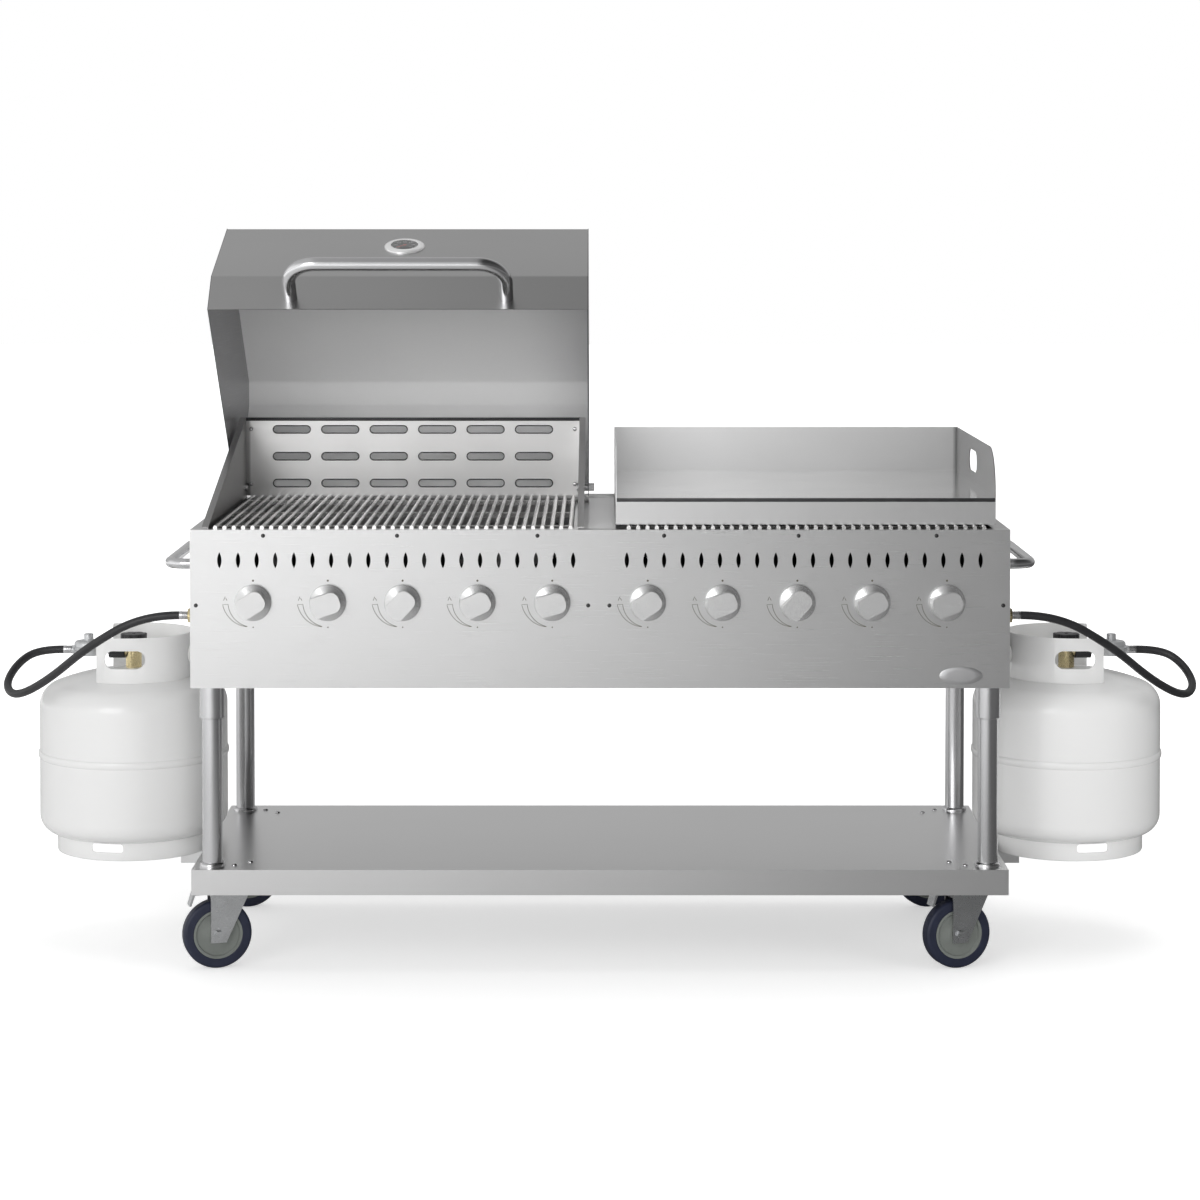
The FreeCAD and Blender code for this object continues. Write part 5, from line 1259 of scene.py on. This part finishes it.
@dataclass
class ControlPanel(Assembly):
    """Knobs with their printed marks, screws and a blank plate on the front panel."""

    knob_z: float = 0.759
    knob_first: float = 0.097
    knob_pitch: float = 0.1519
    knob_radius: float = 0.037
    knob_sides: int = 96
    gap: float = 0.0008
    rim: float = 0.008
    skirt: float = 0.016
    cone: float = 0.018
    reach: float = 0.042
    grip_width: float = 0.042
    grip_nose: float = 0.028
    grip_corner: float = 0.017
    draft: float = 0.004
    groove: Point = (0.010, 0.0008, 0.0006)
    tool: float = 0.1
    turns: tuple[float, ...] = (32.0, 19.0, 48.0, 25.0, 16.0, 34.0, 21.0, 48.0, 27.0, 20.0)
    ink: float = 0.0006
    ink_proud: float = 0.0001
    band_start: float = 184.0
    band_sweep: float = 72.0
    band_radius: float = 0.0565
    band_inward: float = 0.006
    band_width: float = 0.0105
    band_tip: float = 0.0006
    band_steps: int = 18
    sparks: tuple[tuple[Pair, Pair], ...] = (
        ((-0.060, 0.004), (-0.0565, 0.012)), ((-0.053, 0.004), (-0.0555, 0.009)))
    dots: tuple[Pair, ...] = ((0.0445, 0.0021), (-0.0505, 0.0014))
    dot_proud: float = 0.0002
    screw_dome: tuple[Pair, ...] = (
        (0.0042, 0.0), (0.0041, 0.0007), (0.0036, 0.0015), (0.0024, 0.0021), (0.0008, 0.0023))
    screw_recess: Point = (0.0018, 0.0003, 0.0012)
    top_screws: tuple[float, ...] = (-0.684, -0.412, -0.127, 0.130, 0.403, 0.683)
    top_screw_z: float = 0.895
    middle_screws: tuple[float, ...] = (-0.821, -0.024, 0.019, 0.819)
    middle_screw_z: float = 0.753
    plate_middle: Pair = (0.734, 0.6095)
    plate_size: Pair = (0.088, 0.036)
    plate_dome: tuple[Pair, ...] = (
        (1.0, 0.0), (0.995, 0.0007), (0.96, 0.0011), (0.6, 0.0014), (0.02, 0.0015))

    def build(self) -> None:
        """Everything on the panel."""
        self.knobs()
        self.marks()
        self.screws()
        self.blank_plate()

    def places(self) -> list[float]:
        """X of each knob, from the left."""
        half = [self.knob_first + step * self.knob_pitch for step in range(len(self.turns) // 2)]
        return [-x for x in reversed(half)] + half

    def knobs(self) -> None:
        """One knob, copied to every valve and turned as it stands there."""
        pattern = self.knob()
        for index, (x, lean) in enumerate(zip(self.places(), self.turns), start=1):
            place = shift(x, FRONT_Y, self.knob_z) @ turn(-lean, Axis.Y)
            piece = copied(pattern, f"burner_knob_{index}", place)
            dress(piece, KNOB_METAL, "knob_metal", f"knob_{index}", body=f"knob_{index}")
        discard(pattern)

    def knob(self) -> Piece:
        """A plated knob: a cone-shaped skirt and a drum cut away on both sides of a blunt-nosed grip.

        Returns:
            The knob at the origin, facing the cook.
        """
        wide, back, rim = self.knob_radius, self.gap, self.rim
        profile = [(wide - 0.0006, back), (wide, back + 0.0008), (wide, rim - 0.0008), (wide - 0.0004, rim),
                   (wide - 0.0012, rim + 0.0004), (self.cone, self.skirt)]
        skirt = turned("skirt", profile, self.knob_sides)
        profile = [(wide - 0.0008, rim - 0.003), (wide - self.draft, self.reach)]
        body = carve(turned("drum", profile, self.knob_sides), [self.grip()], Use.SHARE)
        carve(skirt, [rounded(body, 0.0014, 3, 40.0)], Use.ADD)
        start, half, deep = self.groove
        end = self.grip_nose - 0.002
        carve(skirt, [slab("groove", (start, -half, self.reach - deep), (end, half, self.tool))])
        return settle(even(smooth(skirt, 40.0)), turn(90.0, Axis.X))

    def grip(self) -> Piece:
        """What is left of a knob's drum: a tall block whose nose has rounded corners.

        Returns:
            The block.
        """
        half = self.grip_width / 2
        grip = slab("grip", (-self.tool, -half, 0.0), (self.grip_nose, half, self.tool))
        bpy.ops.object.mode_set(mode="EDIT")
        bpy.ops.mesh.select_all(action="DESELECT")
        bpy.ops.object.mode_set(mode="OBJECT")
        for edge in grip.data.edges:
            start, end = (grip.data.vertices[index].co for index in edge.vertices)
            edge.select = min(start.x, end.x) > 0.0 and abs(start.z - end.z) > half
        bpy.ops.object.mode_set(mode="EDIT")
        bpy.ops.mesh.bevel(offset=self.grip_corner, segments=12, affect="EDGES")
        bpy.ops.object.mode_set(mode="OBJECT")
        return grip

    def marks(self) -> None:
        """Plain printed marks round each knob: a band, a spark and two dots."""
        strokes = []
        for x in self.places():
            strokes.append(line("band", self.band(x), self.ink, True))
            for spark in self.sparks:
                strokes.append(line("spark", [self.spot(x, *end) for end in spark], self.ink))
            for up, radius in self.dots:
                start = self.spot(x, 0.0, up)
                strokes.append(drum("dot", radius, start, start - self.dot_proud * Vector(Axis.Y.value), 20))
        dress(joined("panel_marks", strokes), PANEL_INK, "panel_steel")

    def spot(self, x: float, right: float, up: float) -> Vector:
        """A point on the panel's face, counted from the middle of the knob at X."""
        return Vector((x + right, FRONT_Y - self.ink_proud, self.knob_z + up))

    def band(self, x: float) -> list[Vector]:
        """A tapering band round a knob's lower left, which shows the flame's size.

        Args:
            x: The knob's X.

        Returns:
            The points of its outline.
        """
        outer, inner = [], []
        for step in range(self.band_steps + 1):
            share = step / self.band_steps
            angle = math.radians(self.band_start + self.band_sweep * share)
            middle = self.band_radius - self.band_inward * share
            width = self.band_width * (1.0 - share) + self.band_tip
            for edge, radius in ((outer, middle + width / 2), (inner, middle - width / 2)):
                edge.append(self.spot(x, radius * math.cos(angle), radius * math.sin(angle)))
        return outer + inner[::-1]

    def screws(self) -> None:
        """Low domed screws with a driver recess."""
        head = turned("screw", self.screw_dome, FINE)
        long, half, low = self.screw_recess
        carve(head, [slab("recess", (-x, -y, low), (x, y, 0.004)) for x, y in ((long, half), (half, long))])
        settle(head, turn(90.0, Axis.X))
        spots = [(x, self.top_screw_z) for x in self.top_screws]
        spots += [(x, self.middle_screw_z) for x in self.middle_screws]
        heads = scattered("panel_screws", head, [shift(x, FRONT_Y, z) for x, z in spots])
        dress(heads, SCREW_STEEL, "panel_steel")

    def blank_plate(self) -> None:
        """A bare oval plate, slightly domed, where such grills carry a badge."""
        (x, z), (long, tall) = self.plate_middle, self.plate_size
        oval = Matrix.Diagonal((long / 2, tall / 2, 1.0, 1.0))
        place = shift(x, FRONT_Y, z) @ turn(90.0, Axis.X) @ oval
        plate = settle(turned("blank_plate", self.plate_dome), place)
        dress(smooth(plate, 40.0), PLATE_STEEL, "panel_steel")


@dataclass
class Lid(Assembly):
    """The lid's folded sheet, its tube handle and its dial thermometer.

    They are made in the closed lid's frame, with the hinge line through the origin, and then swung open.
    """

    hinge: Pair = (0.650, 0.936)
    open_angle: float = 42.3
    middle_x: float = -0.421
    front: float = 0.6345
    handle_radius: float = 0.0145
    handle_half: float = 0.2255
    handle_reach: float = 0.1055
    handle_bend: float = 0.058
    handle_rise: float = 0.014
    lip: Pair = (-0.635, -0.018)
    fold: Pair = (-0.633, 0.075)
    brow: Pair = (-0.497, 0.332)
    back: tuple[Pair, ...] = ((0.032, 0.332), (0.070, 0.291), (0.070, 0.045))
    sheet_ends: Pair = (-0.8155, -0.0265)
    sheet: float = 0.0015
    fold_radius: float = 0.004
    dial_up: float = 0.176
    dial_radius: float = 0.0435
    dial_depth: float = 0.0065
    dial_sides: int = 72
    bezel_width: float = 0.0145
    bezel_sides: int = 96
    face_depth: float = 0.0032
    needle_half: float = 0.0007
    needle_turn: float = 128.0
    needle_hub: float = 0.0028
    probe_radius: float = 0.004
    probe_length: float = 0.06
    ticks: int = 24
    ticks_per_figure: int = 4
    tick_sweep: float = 260.0
    tick_long: float = 0.0042
    tick_short: float = 0.0022
    tick_half: float = 0.0003
    tick_margin: float = 0.0018
    ink: float = 0.0002
    first_figure: int = 100
    figure_step: int = 25
    figure_margin: float = 0.0105
    figure_size: float = 0.0058

    def build(self) -> None:
        """The sheet, the handle and the thermometer."""
        self.shell()
        self.handle()
        self.thermometer()

    def swing(self) -> Matrix:
        """From the closed lid's frame to where the lid stands open."""
        return shift(0.0, FRONT_Y + self.hinge[0], self.hinge[1]) @ turn(-self.open_angle, Axis.X)

    def shell(self) -> None:
        """The sheet folded along four lines, dull on its inner side, which is painted near-white as painted
        light.
        """
        low, high = self.sheet_ends
        outline = (self.lip, self.fold, self.brow, *self.back)
        curve, spline = curved("lid_sheet", "POLY", len(outline), dimensions="2D", fill_mode="NONE",
                               extrude=(high - low) / 2)
        for knot, (y, z) in zip(spline.points, outline):
            knot.co = (y, z, 0.0, 1.0)
        rows = [(*axis.value, 0.0) for axis in (Axis.Z, Axis.X, Axis.Y)]
        upright = Matrix([*rows, (0.0, 0.0, 0.0, 1.0)])
        sheet = settle(as_mesh(curve, "lid_sheet"), shift((low + high) / 2, 0.0, 0.0) @ upright)
        downward = max(sheet.data.polygons, key=lambda face: face.center.z).normal.z < 0.0
        bpy.ops.object.mode_set(mode="EDIT")
        bpy.ops.mesh.select_all(action="SELECT")
        bpy.ops.mesh.remove_doubles(threshold=WELD)
        if downward:
            bpy.ops.mesh.select_all(action="SELECT")
            bpy.ops.mesh.flip_normals()
        bpy.ops.object.mode_set(mode="OBJECT")
        settle(rounded(sheet, self.fold_radius, 4, 10.0), self.swing())
        dress(sheet, LID_STEEL, "lid_steel", "lid_shell", body="lid", inside=LID_INSIDE_PAINTED_LIGHT)
        modified(sheet, "SOLIDIFY", thickness=self.sheet, offset=-1.0, use_even_offset=True,
                 material_offset=1)
        smooth(sheet, 20.0)

    def handle(self) -> None:
        """A polished tube that ends on the sheet."""
        xs = (self.middle_x - self.handle_half, self.middle_x + self.handle_half)
        feet = [Vector((x, -self.front, self.handle_rise)) for x in xs]
        out = Vector((0.0, -self.handle_reach, 0.0))
        grip = bow("lid_tube_handle", feet, out, self.handle_bend, self.handle_radius)
        dress(settle(grip, self.swing()), BRIGHT_TUBE, "bright_steel", "lid_handle", body="lid")

    def dial_place(self) -> Matrix:
        """The thermometer's own frame, with its axis out of the lid's sloping face.

        Returns:
            Its place on the open lid.
        """
        fold, brow = Vector(self.fold), Vector(self.brow)
        slope = (brow - fold).normalized()
        y, z = fold + self.dial_up * slope
        lean = math.degrees(math.atan2(slope.y, slope.x))
        return self.swing() @ shift(self.middle_x, y, z) @ turn(lean, Axis.X)

    def thermometer(self) -> None:
        """A bright domed bezel, the probe, a dark face with ticks and figures, a needle and a glass."""
        wide, deep = self.dial_radius, self.dial_depth
        rim, floor = wide - self.bezel_width, deep - self.face_depth
        dome = arc((rim + 0.0015, 0.001), (wide - rim - 0.0015, deep - 0.001), 90.0, 0.0, 9)
        back = rim - 0.004
        ring = [(rim, floor), (rim, deep - 0.0008), *dome, (wide, 0.0), (back, 0.0), (back, floor),
                (rim, floor)]
        self.on_dial(turned("dial_bezel", ring, self.bezel_sides), BEZEL_CHROME, "thermometer")

        probe = drum("dial_probe", self.probe_radius, (0.0, 0.0, 0.0), (0.0, 0.0, -self.probe_length))
        self.on_dial(smooth(rounded(probe, 0.001)), BRIGHT_TUBE, "thermometer")

        top = floor + 0.0004
        disc = [(rim, 0.0004), (rim, floor + 0.0002), (rim - 0.0006, top)]
        self.on_dial(turned("dial_plate", disc, self.dial_sides), DIAL_FACE)
        self.on_dial(self.figures(rim, top), DIAL_INK)

        half = self.needle_half
        blade = slab("blade", (-half, -0.006, floor + 0.0006), (half, rim - 0.008, floor + 0.001))
        hub = drum("hub", self.needle_hub, (0.0, 0.0, top), (0.0, 0.0, floor + 0.0013))
        needle = settle(joined("dial_needle", [blade, hub]), turn(self.needle_turn, Axis.Z))
        self.on_dial(needle, NEEDLE_RED)

        edge = rim - 0.0002
        lens = [(edge, floor + 0.0017), (edge, floor + 0.0022), (0.7 * rim, floor + 0.0026),
                (0.2 * rim, floor + 0.0028)]
        self.on_dial(turned("dial_glass", lens, self.dial_sides), DIAL_GLASS)

    def on_dial(self, piece: Piece, finish: Finish, *stands_for: str) -> None:
        """Put a piece of the thermometer on the lid and dress it."""
        dress(settle(piece, self.dial_place()), finish, "bezel", *stands_for, body="lid")

    def figures(self, rim: float, height: float) -> Piece:
        """The dial's ticks and plain figures.

        Args:
            rim: The face's radius.
            height: The face's height.

        Returns:
            One piece of all of them, lying on the face.
        """
        pieces = []
        top, half = rim - self.tick_margin, self.tick_half
        for step in range(self.ticks + 1):
            angle = self.tick_sweep / 2 - step * self.tick_sweep / self.ticks
            marked = step % self.ticks_per_figure == 0
            long = self.tick_long if marked else self.tick_short
            tick = slab("tick", (-half, top - long, height), (half, top, height + self.ink))
            pieces.append(settle(tick, turn(angle, Axis.Z)))
            if marked:
                spot = turn(angle, Axis.Z) @ Vector((0.0, rim - self.figure_margin, height + self.ink / 2))
                pieces.append(self.figure(str(self.first_figure + self.figure_step * step), shift(*spot)))
        return joined("dial_figures", pieces)

    def figure(self, text: str, place: Matrix) -> Piece:
        """One number as a thin mesh.

        Args:
            text: The number.
            place: Where it goes.

        Returns:
            The new piece.
        """
        only(None)
        bpy.ops.object.text_add()
        words = bpy.context.object
        words.data.body = text
        words.data.size = self.figure_size
        words.data.align_x = "CENTER"
        words.data.align_y = "CENTER"
        words.data.resolution_u = 3
        return settle(as_mesh(words, f"figure_{text}"), place)


@dataclass
class Firebox(Assembly):
    """Push handles on the firebox's ends, and rivets, near-black slot rims and near-black strips on its
    guards, both painted shade.
    """

    half_width: float = 0.833
    handle_radius: float = 0.011
    handle_reach: float = 0.066
    handle_y: Pair = (0.150, 0.540)
    handle_bend: float = 0.040
    handle_z: float = 0.821
    handle_foot: tuple[Pair, ...] = ((0.017, 0.0), (0.017, 0.0015), (0.016, 0.0024), (0.0115, 0.004))
    foot_sides: int = 48
    guard_y: float = 0.672
    rivet_dome: tuple[Pair, ...] = (
        (0.0048, 0.0), (0.0046, 0.0009), (0.0038, 0.0019), (0.0022, 0.0026), (0.0008, 0.0028))
    rivet_x: tuple[float, ...] = (-0.785, -0.057)
    rivet_z: tuple[float, ...] = (0.941, 1.065)
    rivet_sides: int = 20
    slot_middle: float = -0.421
    slot_columns: int = 6
    slot_pitch: float = 0.109
    slot_half: float = 0.042
    slot_width: float = 0.017
    slot_z: tuple[float, ...] = (0.943, 1.0035, 1.064)
    slot_bead: float = 0.0014
    hem: tuple[Point, Point] = ((-0.7975, 0.6685, 1.0835), (-0.0445, 0.6720, 1.091))
    griddle_edge: tuple[Point, Point] = ((0.034, 0.0292, 0.9612), (0.805, 0.0300, 0.9688))

    def build(self) -> None:
        """The handles, the rivets, the slot rims and the strips of painted shade."""
        for side in Side:
            self.push_handle(side)
        self.rivets()
        self.slot_rims()
        self.dark_edges()

    def push_handle(self, side: Side) -> None:
        """A polished U of tube with a foot plate at each end.

        Args:
            side: The end of the grill that it is on.
        """
        feet = [Vector(from_front((side.value * self.half_width, y, self.handle_z))) for y in self.handle_y]
        out = Vector((side.value * self.handle_reach, 0.0, 0.0))
        grip = bow(f"{side.word}_push_handle", feet, out, self.handle_bend, self.handle_radius)
        dress(grip, BRIGHT_TUBE, "bright_steel", "side_handles")
        for end, foot in zip(ENDS, feet):
            plate = turned(f"{side.word}_{end}_push_foot", self.handle_foot, self.foot_sides)
            settle(plate, shift(*foot) @ turn(90.0 * side.value, Axis.Y))
            dress(plate, BRIGHT_TUBE, "bright_steel")

    def rivets(self) -> None:
        """Domed rivets down both edges of the guard's back sheet."""
        head = settle(turned("rivet", self.rivet_dome, self.rivet_sides), turn(90.0, Axis.X))
        places = [shift(x, FRONT_Y + self.guard_y, z) for x in self.rivet_x for z in self.rivet_z]
        dress(scattered("guard_rivets", head, places), BRIGHT_TUBE, "panel_steel")

    def slot_rims(self) -> None:
        """A pressed bead round every slot of the guard's back sheet, near-black as painted shade round the
        slot.
        """
        bend = self.slot_width / 2
        reach = self.slot_half - bend
        edge = arc((reach, 0.0), (bend, bend), -90.0, 90.0, 8)
        edge += arc((-reach, 0.0), (bend, bend), 90.0, 270.0, 8)
        pattern = line("slot_rim", [from_front((x, self.guard_y, z)) for x, z in edge], self.slot_bead, True)
        first = self.slot_middle - self.slot_pitch * (self.slot_columns - 1) / 2
        xs = [first + column * self.slot_pitch for column in range(self.slot_columns)]
        rims = scattered("guard_slot_rims", pattern, [shift(x, 0.0, z) for z in self.slot_z for x in xs])
        # The beads' near-black colour is painted shade round the slots
        dress(smooth(rims, 60.0), PAINTED_SHADE_DARK, "panel_steel")

    def dark_edges(self) -> None:
        """Near-black strips of painted shade along the guard's top edge and the griddle plate's front edge.
        """
        hem = slab("guard_hem", *map(from_front, self.hem))
        dress(smooth(rounded(hem, 0.0008)), PAINTED_SHADE_DARK, "panel_steel")
        edge = slab("griddle_edge", *map(from_front, self.griddle_edge))
        dress(smooth(rounded(edge, 0.0002, 2)), PAINTED_SHADE_DARK, "griddle_steel")


@dataclass
class Cart(Assembly):
    """Legs with sleeves and foot rings, caster wheels, arm plugs and shelf bolts."""

    leg_radius: float = 0.02065
    leg_gap: float = 0.0002
    leg_x: float = 0.795
    leg_y: Pair = (0.044, 0.623)
    shelf_top: float = 0.212
    panel_bottom: float = 0.584
    sleeve_radius: float = 0.0254
    sleeve_length: float = 0.067
    foot_ring: tuple[Pair, ...] = ((0.0268, 0.0), (0.0266, 0.004), (0.0255, 0.0068), (0.0235, 0.008))
    caster_x: float = 0.760
    caster_y: Pair = (0.062, 0.613)
    caster_turn: float = 17.0
    trail: float = 0.029
    wheel_radius: float = 0.0705
    wheel_sides: int = 96
    tyre_half: float = 0.016
    tyre_round: float = 0.007
    tyre_inner: float = 0.0505
    hub_half: float = 0.0187
    hub_radius: float = 0.015
    hub_sides: int = 48
    axle_radius: float = 0.0061
    arm_end: float = 0.894
    arm_y: Pair = (0.300, 0.390)
    arm_z: float = 0.1773
    arm_inner: float = 0.0106
    plug_depth: float = 0.012
    plug_edge: float = 0.002
    bolt_dome: tuple[Pair, ...] = (
        (0.006, 0.0), (0.0058, 0.0012), (0.0048, 0.0026), (0.003, 0.0034), (0.001, 0.0036))
    bolt_steps: tuple[Pair, ...] = ((-0.045, 0.0), (-0.075, 0.03))

    def build(self) -> None:
        """Everything on the cart."""
        self.legs()
        self.wheels()
        self.plugs()
        self.bolts()

    def legs(self) -> None:
        """Each leg as a tube with a sleeve at its head and a ring at its foot."""
        bottom, top, bore = self.shelf_top, self.panel_bottom, self.leg_radius + self.leg_gap
        low, high, wide = top - self.sleeve_length, top - self.leg_gap, self.sleeve_radius
        tube = [(self.leg_radius, bottom), (self.leg_radius, top)]
        sleeve = [(bore, low), (wide - 0.001, low), (wide, low + 0.0012), (wide, high), (bore, high),
                  (bore, low)]
        outside = [(radius, bottom + up) for radius, up in self.foot_ring]
        ring = [(bore, bottom), *outside, (bore, outside[-1][1]), (bore, bottom)]
        pieces = (("leg", tube, ["legs"]), ("leg_sleeve", sleeve, ["leg_sleeves"]), ("leg_ring", ring, []))
        for corner, side, y in corners(self.leg_y):
            for word, profile, stands_for in pieces:
                piece = settle(turned(f"{corner}_{word}", profile), shift(side.value * self.leg_x, y, 0.0))
                dress(piece, LEG_STEEL, "bright_steel", *stands_for)

    def wheels(self) -> None:
        """Rubber tyres on grey wheels with dark bearing covers, each turned with its fork."""
        patterns = (("tyre", self.tyre(), TREAD_RUBBER), ("web", self.web(), HUB_GREY),
                    ("cover", self.cover(), HUB_DARK))
        for corner, side, y in corners(self.caster_y):
            fork = shift(side.value * self.caster_x, y, 0.0) @ turn(self.caster_turn, Axis.Z)
            place = fork @ shift(-self.trail, 0.0, self.wheel_radius) @ turn(-90.0, Axis.X)
            body = f"{corner}_wheel"
            for word, pattern, finish in patterns:
                piece = smooth(copied(pattern, f"{corner}_{word}", place))
                dress(piece, finish, "wheel_tread", body, body=body)
        for _, pattern, _ in patterns:
            discard(pattern)

    def tyre(self) -> Piece:
        """The tyre about the upright axis, with round shoulders.

        Returns:
            The new piece.
        """
        half, bend, inner = self.tyre_half, self.tyre_round, self.tyre_inner
        shoulder = arc((self.wheel_radius - bend, half - bend), (bend, bend), 0.0, 90.0, 6)
        upper = [*shoulder, (0.052, half)]
        end = (inner, -half + 0.0012)
        lower = [(radius, -z) for radius, z in reversed(upper)]
        return turned("tyre", [end, *lower, *upper, (inner, half - 0.0012), end], self.wheel_sides)

    def web(self) -> Piece:
        """The wheel's disc about the upright axis, dished between hub and rim.

        Returns:
            The new piece.
        """
        hub, half = self.hub_half, self.tyre_half
        disc = [(self.hub_radius, hub - 0.003), (0.024, hub - 0.004), (0.030, half - 0.005),
                (0.043, half - 0.004), (0.0455, half - 0.0006), (self.tyre_inner, half - 0.0006)]
        lower = [(radius, -z) for radius, z in disc]
        return turned("web", [*lower, *reversed(disc), lower[0]], self.wheel_sides)

    def cover(self) -> Piece:
        """The bearing covers on both sides of the hub, in one.

        Returns:
            The new piece.
        """
        hub, wide = self.hub_half, self.hub_radius
        upper = [(self.axle_radius, hub), (0.013, hub), (wide - 0.0002, hub - 0.0015), (wide, hub - 0.0045)]
        lower = [(radius, -z) for radius, z in reversed(upper)]
        return turned("cover", [*upper, *lower, upper[0]], self.hub_sides)

    def plugs(self) -> None:
        """Black plugs in the ends of the square arms."""
        half = self.arm_inner
        for side in Side:
            start, end = sorted((side.value * (self.arm_end - self.plug_depth), side.value * self.arm_end))
            for word, y in zip(ENDS, self.arm_y):
                low = from_front((start, y - half, self.arm_z - half))
                high = from_front((end, y + half, self.arm_z + half))
                plug = rounded(slab(f"{side.word}_{word}_arm_plug", low, high), self.plug_edge)
                dress(smooth(plug), NUT_BLACK, "black_plastic")

    def bolts(self) -> None:
        """Low bolt heads on the shelf, inward from the legs."""
        places = []
        for side in Side:
            for y, inward in zip(self.leg_y, (1.0, -1.0)):
                for step_x, step_y in self.bolt_steps:
                    x = side.value * (self.leg_x + step_x)
                    places.append(shift(x, FRONT_Y + y + inward * step_y, self.shelf_top))
        bolts = scattered("shelf_bolts", turned("bolt", self.bolt_dome, FINE), places)
        dress(bolts, BRIGHT_TUBE, "panel_steel")


@dataclass
class GasGrill:
    """The whole grill, sub-assembly by sub-assembly."""

    parts: list[Assembly] = field(default_factory=lambda: [
        *map(GasHose, Side), *map(PropaneCylinder, Side), ControlPanel(), Lid(), Firebox(), Cart()])

    def build(self, nodes: dict[str, Piece]) -> None:
        """Dress the frame and add every piece.

        Args:
            nodes: The frame's nodes by name.
        """
        dress_frame(nodes)
        for part in self.parts:
            part.build()
            LOG.info("%s done", type(part).__name__)


def main() -> None:
    """Build the scene."""
    logging.basicConfig(level=logging.INFO, format="%(name)s: %(message)s")
    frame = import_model()
    Studio().set_up()
    GasGrill().build(frame["nodes"])


if __name__ == "__main__":
    main()
